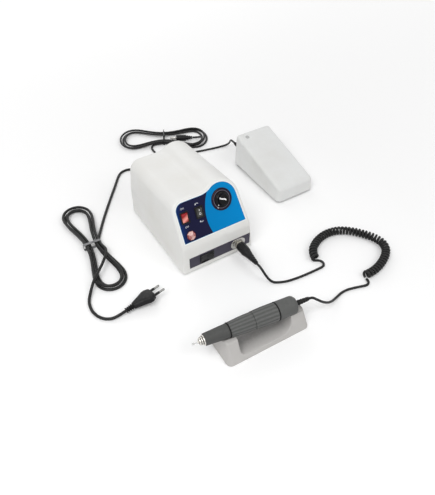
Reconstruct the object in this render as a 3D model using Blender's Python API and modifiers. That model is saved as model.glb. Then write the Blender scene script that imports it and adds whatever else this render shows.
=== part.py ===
"""Bench micromotor set: a control box, a foot pedal, a motor handpiece on its rest, and three leads.

Every unit stands on the table at z = 0. The layout is measured from the control box's
front left foot corner, +X to its right and +Y to its back, and the whole set is moved at
the end so that the box round its rigid units is centred on the origin.
"""
import math

import bmesh
import bpy
import numpy as np
from mathutils import Matrix, Vector

MM = 0.001
GAP = 0.3 * MM
OVERRUN = 4 * MM
TINY_MERGE = 0.01 * MM

# Counts of sides and steps
ROUND_SIDES = 24
PLUG_SIDES = 16
SMALL_SIDES = 12
LENS_SIDES = 8
CORNER_STEPS = 3
HUMP_STEPS = 9
BEND_STEPS = 2
SPAN_SAMPLES = 24
PHASE_STEP = math.radians(0.05)

# Control box case
CASE_WIDTH = 140 * MM
CASE_DEPTH = 206 * MM
CASE_BOTTOM = 1.5 * MM
CASE_WALL = 3 * MM
NOSE_HEIGHT = 57 * MM
PANEL_TILT = math.radians(28)
LEFT_LEAN = 2.5 * MM
SHOULDER_RISE = 84.5 * MM
SHOULDER_RADIUS = 20 * MM
HUMP_FROM_RIGHT = 48 * MM
HUMP_RISE = 59.5 * MM
HUMP_RADIUS = 35 * MM
HUMP_END = math.radians(6)
BLEND_RADIUS = 30 * MM
REAR_HEIGHT = 122 * MM
FRONT_ROUND = 2.5 * MM
REAR_ROUND = 9 * MM

# Front panel and lower panel, let into the case
PANEL_MARGIN = 6 * MM
PANEL_FOOT = 11.5 * MM
PANEL_THICK = 1.2 * MM
PANEL_RECESS = PANEL_THICK + GAP
DIAL_RADIUS = 19 * MM
DIAL_RAISE = 0.8 * MM
STRIP_LEFT = 12.5 * MM
STRIP_RIGHT = 6.5 * MM
STRIP_LOW = 11 * MM
STRIP_HIGH = 35 * MM

# Speed control: potentiometer and knob
POT_RADIUS = 8 * MM
POT_DEPTH = 11 * MM
POT_BUSH_RADIUS = 4 * MM
POT_SHAFT_RADIUS = 3 * MM
POT_SHAFT_OUT = 6.5 * MM
KNOB_SKIRT_RADIUS = 13.5 * MM
KNOB_SKIRT_HEIGHT = 2.6 * MM
KNOB_GRIP_RADIUS = 9.8 * MM
KNOB_HEIGHT = 9 * MM
KNOB_DRAFT = 0.7 * MM
POINTER_WIDTH = 2.4 * MM
POINTER_TURN = math.radians(-30)
POINTER_RAISE = 0.5 * MM

# Rocker switches
SWITCH_WIDTH = 15 * MM
SWITCH_LENGTH = 20 * MM
SELECTOR_WIDTH = 18 * MM
SELECTOR_LENGTH = 27 * MM
BEZEL_LIP = 1.3 * MM
BEZEL_THICK = 1.8 * MM
SWITCH_DEPTH = 14 * MM
SWITCH_POCKET = 6 * MM
ROCKER_GAP = 0.35 * MM
ROCKER_TOP = math.radians(18)
ROCKER_TILT = math.radians(10)
ROCKER_DIP = 0.9 * MM
SWITCH_RISE = 53 * MM
POWER_FROM_LEFT = 20.9 * MM
DIRECTION_FROM_LEFT = 47.7 * MM
SELECTOR_FROM_LEFT = 46 * MM
SELECTOR_HEIGHT = 23 * MM

# Pilot lamp
LAMP_FROM_LEFT = 22.9 * MM
LAMP_RISE = 21.6 * MM
LAMP_RADIUS = 8.2 * MM
LAMP_STEM_RADIUS = 4 * MM
LAMP_HEIGHT = 6.2 * MM
LAMP_CROWN_RADIUS = 4.5 * MM
LAMP_RIM_HEIGHT = 1.8 * MM
LAMP_DEPTH = 9 * MM

# Motor socket and its plug
SOCKET_FROM_RIGHT = 31.7 * MM
SOCKET_HEIGHT = 23.4 * MM
SOCKET_RADIUS = 8.6 * MM
SOCKET_BORE = 7 * MM
SOCKET_BORE_DEPTH = 10 * MM
SOCKET_DEPTH = 14 * MM
SOCKET_COLLAR_RADIUS = 9.2 * MM
SOCKET_COLLAR_HEIGHT = 3.4 * MM
SOCKET_FLANGE_WIDTH = 29 * MM
SOCKET_FLANGE_HEIGHT = 20 * MM
SOCKET_FLANGE_THICK = 1.2 * MM
PLUG_SHELL_RADIUS = 6.6 * MM
PLUG_SHELL_IN = 9 * MM
PLUG_GRIP_START = 4 * MM
PLUG_GRIP_RADIUS = 8.7 * MM
PLUG_GRIP_END = 35 * MM
PLUG_NECK_RADIUS = 5.6 * MM
PLUG_NECK_START = 40 * MM
PLUG_END = 58 * MM
PLUG_END_RADIUS = 3.3 * MM
RELIEF_RIBS = 4
RELIEF_RIB_DEPTH = 0.9 * MM

# Rear of the box
REAR_PORT_HEIGHT = 35 * MM
MAINS_FROM_LEFT = 62 * MM
JACK_FROM_LEFT = 102 * MM
GLAND_RADIUS = 7 * MM
GLAND_NECK_RADIUS = 5 * MM
GLAND_IN = 7 * MM
GLAND_FLANGE_THICK = 2 * MM
GLAND_OUT = 28 * MM
GLAND_END_RADIUS = 3.8 * MM
JACK_BORE = 3.6 * MM
JACK_BORE_DEPTH = 20 * MM
JACK_NECK_RADIUS = 5.4 * MM
JACK_NUT_RADIUS = 7.5 * MM
JACK_NUT_HEIGHT = 3 * MM
JACK_DEPTH = 24 * MM

# Inside the box
BASE_THICK = 2.5 * MM
BASE_UNDERSIDE = 3 * MM
BASE_CLEARANCE = 1 * MM
FOOT_WIDTH = 96 * MM
FOOT_DEPTH = 12 * MM
FOOT_INSET = 20 * MM
CORE_WIDTH = 57 * MM
CORE_HEIGHT = 48 * MM
CORE_DEPTH = 30 * MM
COIL_WIDTH = 36 * MM
COIL_HEIGHT = 28 * MM
COIL_DEPTH = 48 * MM
CORE_FROM_LEFT = 70 * MM
CORE_FROM_BACK = 60 * MM
BOARD_WIDTH = 86 * MM
BOARD_DEPTH = 62 * MM
BOARD_THICK = 1.6 * MM
BOARD_FROM_LEFT = 70 * MM
BOARD_FROM_FRONT = 62 * MM
POST_RADIUS = 3 * MM
POST_HEIGHT = 8 * MM
POST_INSET = 6 * MM
CAPACITOR_RADIUS = 8 * MM
CAPACITOR_HEIGHT = 25 * MM
HEATSINK_SIZE = (12 * MM, 40 * MM, 28 * MM)

# Foot pedal
PEDAL_CORNER = (247 * MM, 66 * MM)
PEDAL_WIDTH = 86 * MM
PEDAL_LENGTH = 159 * MM
PEDAL_FRONT_HEIGHT = 31 * MM
PEDAL_REAR_HEIGHT = 73 * MM
PEDAL_RIM_FRONT = 3.5 * MM
PEDAL_RIM_REAR = 6.3 * MM
PEDAL_PLAN_RADIUS = 9 * MM
PEDAL_TOP_ROUND = 5 * MM
PEDAL_TAPER = 2 * MM
PEDAL_WALL = 2.5 * MM
PEDAL_DIMPLE_RADIUS = 9 * MM
PEDAL_DIMPLE_DEPTH = 0.7 * MM
PEDAL_DIMPLE_FROM_BACK = 16 * MM
PEDAL_DIMPLE_FROM_LEFT = 22 * MM
PIVOT_FROM_FRONT = 15 * MM
PIVOT_HEIGHT = 13 * MM
PIVOT_RADIUS = 2 * MM
PIVOT_HOLE = PIVOT_RADIUS + GAP
PIVOT_LENGTH = 72 * MM
PIVOT_END = 4 * MM
LUG_OUTER_FACE = PIVOT_LENGTH / 2 - PIVOT_END
RIB_CLEARANCE = 1 * MM
RIB_INNER_FACE = LUG_OUTER_FACE + RIB_CLEARANCE
RIB_DEPTH = 12 * MM
RIB_HEIGHT = 11 * MM
LUG_THICK = 5 * MM
LUG_TOP = 18 * MM
PEDAL_BASE_INSET = 5 * MM
PEDAL_BASE_THICK = 2.5 * MM
SPRING_WIRE = 1 * MM
SPRING_MEAN_RADIUS = 3.1 * MM
SPRING_PITCH = 2 * MM
SPRING_CURLS = 5
SWITCH_BLOCK = (20 * MM, 8 * MM, 15 * MM)
SWITCH_BLOCK_FROM_FRONT = 118 * MM
PLUNGER_RADIUS = 2 * MM
PLUNGER_HEIGHT = 2 * MM
PUSHER_WIDTH = 6 * MM
PUSHER_CLEARANCE = 4.5 * MM
PUSHER_TOP = 60.5 * MM
CABLE_BRACKET_FROM_REAR = 10 * MM
CABLE_BRACKET_THICK = 3 * MM
CABLE_BRACKET_WIDTH = 13 * MM
CABLE_BRACKET_TOP = 49 * MM
CABLE_EXIT_FROM_LEFT = 11 * MM
CABLE_EXIT_HEIGHT = 41 * MM
BOOT_RADIUS = 4.6 * MM
BOOT_NECK_RADIUS = 3 * MM
BOOT_FLANGE_RADIUS = 5.4 * MM
BOOT_FLANGE_THICK = 1.5 * MM
BOOT_OUT = 12 * MM
BOOT_END_RADIUS = 3.1 * MM
BOOT_SLOT_SIDE = 0.8 * MM
BOOT_SLOT_RISE = 6.5 * MM

# Handpiece, measured along its axis from the rear end
HANDPIECE_REAR = (97.9 * MM, -170.8 * MM, 43 * MM)
HANDPIECE_TURN = math.radians(-6.5)
REAR_CAP_END = 32 * MM
GRIP_STEP = 72 * MM
FRONT_RING = 111 * MM
RING_WIDTH = 1.4 * MM
SLEEVE_END = 150 * MM
NOSE_END = 158 * MM
REAR_CAP_RADIUS = 14.5 * MM
REAR_CAP_NOSE_RADIUS = 14.7 * MM
REAR_CAP_ROUND = 6 * MM
GRIP_REAR_RADIUS = 14.6 * MM
GRIP_STEP_RADIUS = 13.6 * MM
GRIP_STEP_FRONT_RADIUS = 13.1 * MM
GRIP_FRONT_RADIUS = 11.6 * MM
SLEEVE_REAR_RADIUS = 11.1 * MM
SLEEVE_FRONT_RADIUS = 9.2 * MM
RING_SINK = 0.5 * MM
NOSE_RADIUS = 6.6 * MM
NOSE_FRONT_RADIUS = 5.2 * MM
FLUTES = 20
FLUTE_DEPTH = 0.45 * MM
MOTOR_BORE = 10.4 * MM
SLEEVE_BORE = 7 * MM
CAP_BORE = 11.8 * MM
CAP_FLOOR = 6 * MM
MAGNET_RADIUS = MOTOR_BORE - GAP
MAGNET_BORE = 7.6 * MM
MAGNET_START = 42 * MM
MAGNET_END = 88 * MM
ARMATURE_RADIUS = MAGNET_BORE - GAP
ARMATURE_START = 45 * MM
ARMATURE_END = 84 * MM
SHAFT_RADIUS = 2 * MM
SHAFT_START = 12 * MM
SPINDLE_RADIUS = 3.4 * MM
SPINDLE_START = 96 * MM
SPINDLE_BORE = 2.6 * MM
SPINDLE_BORE_START = 118 * MM
SPINDLE_END = 154 * MM
COLLET_RADIUS = SPINDLE_BORE - GAP
COLLET_BORE = 1.5 * MM
COLLET_START = 130 * MM
COLLET_END = 160 * MM
BUR_SHANK_RADIUS = COLLET_BORE - GAP
BUR_START = 126 * MM
BUR_HEAD_START = 165 * MM
BUR_HEAD_RADIUS = 1.5 * MM
BUR_END = 169 * MM
FRONT_BEARING_START = 104 * MM
BEARING_LENGTH = 5 * MM
FRONT_BEARING_RADIUS = MOTOR_BORE - GAP
REAR_BEARING_START = 14 * MM
REAR_BEARING_RADIUS = CAP_BORE - GAP
BRUSH_START = 24 * MM
BRUSH_LENGTH = 7 * MM
BRUSH_WIDTH = 5 * MM
CAP_RELIEF_BORE = 3.6 * MM
HANDPIECE_BOOT = 24 * MM
HANDPIECE_BOOT_RADIUS = 4.4 * MM
HANDPIECE_BOOT_IN = 5 * MM
HANDPIECE_BOOT_END = 3.1 * MM

# Handpiece rest
REST_CENTRE = (42 * MM, -164 * MM)
REST_TURN = math.radians(-1.5)
REST_LENGTH = 146 * MM
REST_WIDTH = 57 * MM
REST_PLAN_RADIUS = 14 * MM
REST_TOP_LENGTH = 136 * MM
REST_TOP_WIDTH = 27 * MM
REST_TOP_RADIUS = 8 * MM
REST_HEIGHT = 36 * MM
REST_TOP_ROUND = 2 * MM
REST_LIP = 3 * MM
SCOOP_FRONT = -49 * MM
SCOOP_REAR = 43 * MM
SCOOP_FLOOR = 8 * MM
SCOOP_FRONT_RADIUS = 10 * MM
SCOOP_REAR_RADIUS = 20 * MM
REST_UNDERCUT = 3 * MM
REST_WALL = 4 * MM

# Leads
MOTOR_LEAD = 4.2 * MM
MAINS_LEAD = 5 * MM
PEDAL_LEAD = 4.2 * MM
LEAD_SIDES = 2
FORM_SIDES = 1
ROUTE_STEP_SHARE = 2.6
HOOK_STEP_SHARE = 1.1
NEIGHBOUR_SHARE = 3
CURL_RADIUS = 5.6 * MM
CURL_PITCH = 5.95 * MM
CURL_POINTS = 8
LOOP_POINTS = 24
LOOP_COUNT = 3
LOOP_CLEARANCE = 0.6 * MM
MAINS_HANK_CENTRE = (-105 * MM, 146 * MM)
MAINS_HANK_TURN = math.radians(-92)
MAINS_HANK_HALF = 102 * MM
MAINS_HANK_SPREAD = 30 * MM
PEDAL_HANK_CENTRE = (163 * MM, 385 * MM)
PEDAL_HANK_TURN = math.radians(-27.5)
PEDAL_HANK_HALF = 84 * MM
PEDAL_HANK_SPREAD = 46 * MM
MAINS_WAIST_SHARE = 0.85
PEDAL_WAIST_SHARE = 0.75
BLUNT_SHARE = 0.2
MAINS_FAN_SHARE = 0.5
PEDAL_FAN_SHARE = 1.2
TIE_WIRE = 1.6 * MM
TIE_LIFT = TIE_WIRE + GAP

# Mains plug
MAINS_PLUG_REAR = (-115.5 * MM, -21 * MM)
MAINS_PLUG_TURN = math.radians(7.6)
MAINS_PLUG_PITCH = math.radians(5)
MAINS_PLUG_ROLL = math.radians(-24)
MAINS_PLUG_HEIGHT = 7.4 * MM
MAINS_PLUG_LENGTH = 50 * MM
PIN_RADIUS = 2 * MM
PIN_LENGTH = 25 * MM
PIN_INSIDE = 6 * MM
PIN_SPACING = 18.6 * MM
PLUG_SECTION_PLACES = (0, 14 * MM, 18 * MM, 30 * MM, 38 * MM, 43 * MM, MAINS_PLUG_LENGTH)
PLUG_SECTION_WIDTHS = (7.6 * MM, 11 * MM, 15 * MM, 24 * MM, 34 * MM, 35 * MM, 26 * MM)
PLUG_SECTION_THICKS = (7.2 * MM, 9 * MM, 11 * MM, 13 * MM, 13.7 * MM, 13.7 * MM, 13 * MM)
PLUG_SECTION_POINTS = 16
PLUG_SECTION_POWER = 0.62

# Pedal plug, lying unplugged behind the box
PEDAL_PLUG_REAR = (218 * MM, 351.85 * MM)
PEDAL_PLUG_TURN = math.radians(152.5)
PEDAL_PLUG_RADIUS = 6.5 * MM
PEDAL_PLUG_BOOT = 14 * MM
PEDAL_PLUG_BODY_END = 36 * MM
PEDAL_PLUG_TIP_RADIUS = 3.2 * MM
PEDAL_PLUG_TIP_END = 50 * MM

# Routes of the leads on and above the table: x, y and the height of the centreline
MOTOR_ROUTE_FRONT = [
    (108.3, -58.5, 23.4), (108.4, -69, 23), (110.2, -78.5, 16.5), (113.8, -86, 8), (119, -92, 3.2),
    (128, -97.5, 2.15), (143, -103, 2.15), (166, -106.5, 2.15), (188, -108, 2.15), (203, -108.5, 2.15),
    (211.2, -108.5, 2.15), (215.4, -107.4, 2.15), (218.5, -104.3, 2.15), (219.6, -100.1, 2.15),
    (218.5, -95.9, 2.15), (216, -93.2, 2.15), (214.85, -92.4, 2.15)]
CURLY_ROUTE = [
    (211, -90), (215, -80), (222, -70.5), (234, -62), (250, -55.5), (271, -53), (292, -58), (310, -71),
    (324, -88), (334, -106), (337, -123), (331, -138), (316, -150.5), (295, -160), (275, -164.5),
    (258, -164.5)]
MOTOR_ROUTE_REAR = [
    (257.15, -168.95, 2.15), (256.7, -171.5, 2.15), (255.2, -175.5, 2.15), (252.5, -178, 2.15),
    (249, -179.1, 2.15), (245.9, -178.8, 2.15), (236.5, -176, 2.15), (226, -172.8, 2.15),
    (214, -169.9, 2.15), (201, -169.8, 2.3), (190, -172.5, 3.6), (178, -176.5, 7.2),
    (165, -180.5, 13.6), (154, -182, 21), (144, -181, 29), (136, -178, 36), (129, -174.8, 41.4),
    (122.8, -173.65, 42.95)]
MAINS_ROUTE_BOX = [
    (62, 234.6, 35), (62, 244, 34.7), (62.2, 254, 30.6), (62.4, 264, 22), (62.5, 274, 13.4),
    (62.5, 285, 6.6), (62.2, 297, 3.2), (59.2, 310.5, 2.55), (51, 319.6, 2.55), (39.5, 323, 2.55),
    (28, 320, 2.55), (18.5, 311.5, 2.55), (0, 286.5, 2.55), (-20, 259.5, 2.55), (-40, 232, 2.55),
    (-57, 208, 2.55), (-69, 190, 2.6), (-77.5, 176.5, 3.2), (-83.5, 166.5, 3.9), (-88.6, 158, 4.25),
    (-91.3, 151.8, 4.4), (-92.05, 146.4, 4.4)]
MAINS_ROUTE_PLUG = [
    (-92.15, 144.85, 10), (-91.9, 136, 10.6), (-91, 127, 12.3), (-90.6, 118, 14.2), (-93.2, 109, 15.1),
    (-98.6, 100, 15), (-105.4, 91.5, 14.6), (-113, 83, 14.3), (-121, 74.5, 14.3), (-129.5, 66, 14),
    (-138, 57.5, 11.8), (-145.5, 49.5, 7.4), (-152, 41, 3.9), (-157, 32, 2.6), (-160, 20, 2.55),
    (-160, 6.5, 2.55), (-156, -5.5, 2.55), (-148.5, -15, 2.55), (-138.5, -20.7, 3.6), (-128, -22.3, 6),
    (-116, -21.07, 7.35)]
PEDAL_ROUTE_PEDAL = [
    (258, 237.5, 41), (258.5, 246, 40.6), (261, 256, 37), (265, 265.5, 30), (269, 274, 20.5),
    (270.5, 281.5, 11.5), (268, 288, 5), (260.5, 291.8, 2.5), (249, 293.5, 2.15), (230, 297, 2.15),
    (208.8, 301.6, 2.15), (186, 308, 2.15), (166, 314, 2.15),
    (146, 320, 2.15), (130, 330, 2.15), (123, 343, 2.15), (122, 354, 2.15), (122.6, 364, 2.3),
    (126.5, 371.8, 2.8), (134, 374.9, 3.4), (143.2, 372.2, 3.95), (153.6, 368.75, 4)]
PEDAL_ROUTE_PLUG = [
    (155.15, 367.95, 8.8), (163.5, 361.5, 8.8), (173.6, 353.6, 8.6), (181.5, 345.1, 8.2),
    (188.5, 335.6, 7.9), (196, 326, 9.3), (203.5, 321, 12), (212, 319.5, 12.3),
    (221, 321.5, 12.3), (228, 326.5, 12.3), (232.3, 333.3, 11.8), (232.8, 340.5, 9),
    (228, 346.5, 6.7), (218.45, 351.6, 6.5)]

FINISHES = {
    "white_case": ((0.80, 0.80, 0.78), 0.38, 0),
    "pale_pedal": ((0.76, 0.76, 0.75), 0.45, 0),
    "panel_blue": ((0.01, 0.20, 0.58), 0.35, 0),
    "strip_grey": ((0.08, 0.075, 0.10), 0.4, 0),
    "black_plastic": ((0.012, 0.012, 0.013), 0.4, 0),
    "rocker_red": ((0.65, 0.03, 0.03), 0.25, 0),
    "lamp_red": ((0.8, 0.08, 0.07), 0.1, 0),
    "nickel": ((0.72, 0.71, 0.68), 0.25, 1),
    "chrome": ((0.80, 0.79, 0.77), 0.12, 1),
    "grip_grey": ((0.105, 0.112, 0.108), 0.6, 0),
    "ring_black": ((0.01, 0.01, 0.01), 0.5, 0),
    "rest_grey": ((0.46, 0.44, 0.42), 0.55, 0),
    "rubber_black": ((0.015, 0.015, 0.015), 0.7, 0),
    "base_dark": ((0.06, 0.06, 0.06), 0.6, 0),
    "circuit_green": ((0.02, 0.16, 0.07), 0.5, 0),
    "iron": ((0.28, 0.27, 0.26), 0.5, 1),
    "copper": ((0.62, 0.30, 0.16), 0.4, 1),
    "magnet_grey": ((0.10, 0.10, 0.11), 0.55, 0),
    "steel": ((0.60, 0.60, 0.60), 0.25, 1),
    "carbon": ((0.03, 0.03, 0.03), 0.7, 0),
    "lead_black": ((0.012, 0.012, 0.012), 0.5, 0),
    "brass": ((0.72, 0.60, 0.36), 0.3, 1),
}


def clear_scene():
    """Start from an empty file with one collection for the parts and one for the cutters."""
    for old in list(bpy.data.objects):
        bpy.data.objects.remove(old, do_unlink=True)
    homes = []
    for name in ("micromotor_set", "cutters"):
        home = bpy.data.collections.new(name)
        bpy.context.scene.collection.children.link(home)
        homes.append(home)
    return homes


PARTS, CUTTERS = clear_scene()


def finish(name):
    """A plain Principled material for one of the set's finishes."""
    if name in bpy.data.materials:
        return bpy.data.materials[name]
    colour, roughness, metallic = FINISHES[name]
    made = bpy.data.materials.new(name)
    made.use_nodes = True
    shader = made.node_tree.nodes["Principled BSDF"]
    shader.inputs["Base Color"].default_value = (*colour, 1)
    shader.inputs["Roughness"].default_value = roughness
    shader.inputs["Metallic"].default_value = metallic
    return made


def frame(name, location=(0, 0, 0), rotation=(0, 0, 0), parent=None):
    """An empty that carries one unit's own axes."""
    empty = bpy.data.objects.new(name, None)
    PARTS.objects.link(empty)
    empty.parent = parent
    empty.location = location
    empty.rotation_euler = rotation
    return empty


def piece(name, data, finish_name, parent, location=(0, 0, 0), rotation=(0, 0, 0)):
    """Put one named part in the set."""
    made = bpy.data.objects.new(name, data)
    PARTS.objects.link(made)
    data.materials.append(finish(finish_name))
    made.parent = parent
    made.location = location
    made.rotation_euler = rotation
    return made


def cutter(name, data, parent, location=(0, 0, 0), rotation=(0, 0, 0)):
    """A hidden solid that cuts or joins a part."""
    made = bpy.data.objects.new(name, data)
    CUTTERS.objects.link(made)
    made.parent = parent
    made.location = location
    made.rotation_euler = rotation
    made.hide_render = True
    made.display_type = "WIRE"
    return made


def combine(target, tool, operation="DIFFERENCE"):
    """Cut the tool out of the target, or join it on."""
    boolean = target.modifiers.new(tool.name, "BOOLEAN")
    boolean.operation = operation
    boolean.object = tool


def mesh_from(bm, name):
    """Turn a bmesh into a mesh with outward faces."""
    bmesh.ops.recalc_face_normals(bm, faces=bm.faces)
    mesh = bpy.data.meshes.new(name)
    bm.to_mesh(mesh)
    bm.free()
    return mesh


def block(name, size, centre=(0, 0, 0)):
    """A box of the given size about a centre."""
    bm = bmesh.new()
    bmesh.ops.create_cube(bm, size=1)
    bmesh.ops.scale(bm, vec=size, verts=bm.verts)
    bmesh.ops.translate(bm, vec=centre, verts=bm.verts)
    return mesh_from(bm, name)


def rod(name, radius, low, high, sides=ROUND_SIDES):
    """A cylinder along z between two heights."""
    bm = bmesh.new()
    place = Matrix.Translation((0, 0, (low + high) / 2))
    bmesh.ops.create_cone(bm, cap_ends=True, segments=sides, radius1=radius, radius2=radius,
                          depth=high - low, matrix=place)
    return mesh_from(bm, name)


def loft(name, rings, ring_is_closed_tube=False, front_split=None):
    """Join rings of equal point counts; a closed tube joins the last ring to the first."""
    bm = bmesh.new()
    rows = [[bm.verts.new(point) for point in ring] for ring in rings]
    count = len(rows[0])
    pairs = list(zip(rows, rows[1:]))
    if ring_is_closed_tube:
        pairs.append((rows[-1], rows[0]))
    for low, high in pairs:
        for i in range(count):
            j = (i + 1) % count
            bm.faces.new((low[i], low[j], high[j], high[i]))
    if not ring_is_closed_tube:
        bm.faces.new(rows[-1])
        if front_split:
            first, last = front_split
            bm.faces.new(rows[0][first:last + 1])
            bm.faces.new(rows[0][last:] + rows[0][:first + 1])
        else:
            bm.faces.new(rows[0])
    return mesh_from(bm, name)


def prism(name, outline, low, high):
    """A flat outline in x and y, raised from one height to another."""
    return loft(name, [[(x, y, low) for x, y in outline], [(x, y, high) for x, y in outline]])


def turned(name, profile, finish_name, parent, location=(0, 0, 0), rotation=(0, 0, 0),
           sides=ROUND_SIDES, closed=False, is_cutter=False):
    """A turned piece: its profile of radius and height runs down the outer side."""
    mesh = bpy.data.meshes.new(name)
    points = [(radius, 0, height) for radius, height in profile]
    edges = [(i, i + 1) for i in range(len(points) - 1)]
    if closed:
        edges.append((len(points) - 1, 0))
    mesh.from_pydata(points, edges, [])
    if is_cutter:
        made = cutter(name, mesh, parent, location, rotation)
    else:
        made = piece(name, mesh, finish_name, parent, location, rotation)
    screw = made.modifiers.new("turn", "SCREW")
    screw.axis = "Z"
    screw.steps = sides
    screw.render_steps = sides
    screw.use_merge_vertices = True
    screw.merge_threshold = TINY_MERGE
    return made


def arc(centre, radius, start, end, steps):
    """Points of an arc, both ends included."""
    angles = [start + (end - start) * i / steps for i in range(steps + 1)]
    return [(centre[0] + radius * math.cos(a), centre[1] + radius * math.sin(a)) for a in angles]


def rounded_rectangle(width, depth, radius, steps=CORNER_STEPS):
    """A rectangle about the origin with round corners, counter-clockwise."""
    x, y = width / 2 - radius, depth / 2 - radius
    quarter = math.pi / 2
    corners = [((x, y), 0), ((-x, y), quarter), ((-x, -y), 2 * quarter), ((x, -y), 3 * quarter)]
    points = []
    for centre, start in corners:
        points += arc(centre, radius, start, start + quarter, steps)
    return points


def ribbed(start, end, start_radius, end_radius, ribs, depth):
    """Radius and height points of a tapering sleeve with round grooves, from start to end."""
    points = []
    pitch = (end - start) / ribs
    for i in range(ribs):
        low = start + i * pitch
        radius = start_radius + (end_radius - start_radius) * i / ribs
        for share, sink in ((0.1, 0), (0.55, 0), (0.65, depth), (0.95, depth)):
            points.append((radius - sink, low + share * pitch))
    points.append((end_radius, end))
    return points


# The case's cross-section, as x and the distance h up its front

def hump_centre():
    return CASE_WIDTH - HUMP_FROM_RIGHT, NOSE_HEIGHT + HUMP_RISE


def top_outline(inset):
    """The left corner, shoulder, hollow and hump of the section, left to right."""
    hump = hump_centre()
    shoulder = NOSE_HEIGHT + SHOULDER_RISE
    corner = (LEFT_LEAN + SHOULDER_RADIUS, shoulder - SHOULDER_RADIUS)
    hollow_rise = shoulder + BLEND_RADIUS - hump[1]
    hollow_run = math.sqrt((HUMP_RADIUS + BLEND_RADIUS) ** 2 - hollow_rise ** 2)
    hollow = (hump[0] - hollow_run, shoulder + BLEND_RADIUS)
    lean = math.atan2(hollow_rise, hollow_run)
    points = arc(corner, SHOULDER_RADIUS - inset, math.pi, math.pi / 2, CORNER_STEPS + 1)
    points += arc(hollow, BLEND_RADIUS + inset, -math.pi / 2, -lean, BEND_STEPS)
    points += arc(hump, HUMP_RADIUS - inset, math.pi - lean, HUMP_END, HUMP_STEPS)[1:]
    return points


def right_wall(inset, height):
    """x of the right wall at a height, from the hump's end down to the foot."""
    hump = hump_centre()
    top_x = hump[0] + (HUMP_RADIUS - inset) * math.cos(HUMP_END)
    top_h = hump[1] + (HUMP_RADIUS - inset) * math.sin(HUMP_END)
    foot_x = CASE_WIDTH - inset
    return foot_x + (top_x - foot_x) * height / top_h


def case_outline(inset, bottom):
    """The whole section; the second point and the one before last lie on the nose ridge."""
    left = inset + LEFT_LEAN * NOSE_HEIGHT / (NOSE_HEIGHT + SHOULDER_RISE - SHOULDER_RADIUS)
    return ([(inset, bottom), (left, NOSE_HEIGHT)] + top_outline(inset)
            + [(right_wall(inset, NOSE_HEIGHT), NOSE_HEIGHT), (right_wall(inset, 0), bottom)])


def on_front(x, h, depth):
    """A section point on the front, set back by a depth square to the face."""
    if h < NOSE_HEIGHT:
        return (x, depth, h)
    if h == NOSE_HEIGHT:
        return (x, depth, h - depth * math.tan(PANEL_TILT / 2))
    up = h - NOSE_HEIGHT
    return (x, up * math.sin(PANEL_TILT) + depth * math.cos(PANEL_TILT),
            NOSE_HEIGHT + up * math.cos(PANEL_TILT) - depth * math.sin(PANEL_TILT))


def at_rear(x, h, y):
    """A section point at the back, where the roof is lower."""
    if h <= NOSE_HEIGHT:
        return (x, y, h)
    share = (REAR_HEIGHT - NOSE_HEIGHT) / (HUMP_RISE + HUMP_RADIUS)
    return (x, y, NOSE_HEIGHT + (h - NOSE_HEIGHT) * share)


def make_case(box, panel, front, rear):
    """The case shell, open below, with its seats and holes."""
    rings = [[on_front(x, h, 0) for x, h in case_outline(FRONT_ROUND, CASE_BOTTOM)],
             [on_front(x, h, FRONT_ROUND) for x, h in case_outline(0, CASE_BOTTOM)]]
    for step in range(CORNER_STEPS):
        angle = math.pi / 2 * step / (CORNER_STEPS - 1)
        inset = REAR_ROUND * (1 - math.cos(angle))
        y = CASE_DEPTH - REAR_ROUND * (1 - math.sin(angle))
        rings.append([at_rear(x, h, y) for x, h in case_outline(inset, CASE_BOTTOM)])
    ridge = (1, len(rings[0]) - 2)
    case = piece("case_shell", loft("case_shell", rings, front_split=ridge), "white_case", box)
    hollow = [[on_front(x, h, CASE_WALL) for x, h in case_outline(CASE_WALL, -OVERRUN)],
              [at_rear(x, h, CASE_DEPTH - CASE_WALL) for x, h in case_outline(CASE_WALL, -OVERRUN)]]
    combine(case, cutter("case_hollow", loft("case_hollow", hollow, front_split=ridge), box))
    seat = prism("panel_seat", panel_outline(PANEL_MARGIN - GAP), -PANEL_RECESS, OVERRUN)
    combine(case, cutter("panel_seat", seat, panel))
    strip = [(STRIP_LEFT - GAP, STRIP_LOW - GAP), (CASE_WIDTH - STRIP_RIGHT + GAP, STRIP_LOW - GAP),
             (CASE_WIDTH - STRIP_RIGHT + GAP, STRIP_HIGH + GAP), (STRIP_LEFT - GAP, STRIP_HIGH + GAP)]
    combine(case, cutter("strip_seat", prism("strip_seat", strip, -PANEL_RECESS, OVERRUN), front))
    for hole in front_holes(panel, front):
        combine(case, hole)
    ports = ((MAINS_FROM_LEFT, GLAND_NECK_RADIUS), (JACK_FROM_LEFT, JACK_NECK_RADIUS))
    for place, radius in ports:
        port = rod("rear_port", radius + GAP, -CASE_WALL - OVERRUN, OVERRUN, SMALL_SIDES)
        combine(case, cutter("rear_port", port, rear, (CASE_WIDTH - place, REAR_PORT_HEIGHT, 0)))
    return case


def panel_outline(inset):
    """The front panel's outline, measured up from the nose ridge."""
    foot = NOSE_HEIGHT + PANEL_FOOT + inset - PANEL_MARGIN
    left = inset + LEFT_LEAN
    points = [(left, foot)] + top_outline(inset) + [(right_wall(inset, foot), foot)]
    return [(x, h - NOSE_HEIGHT) for x, h in points]


HOLES = []


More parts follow.
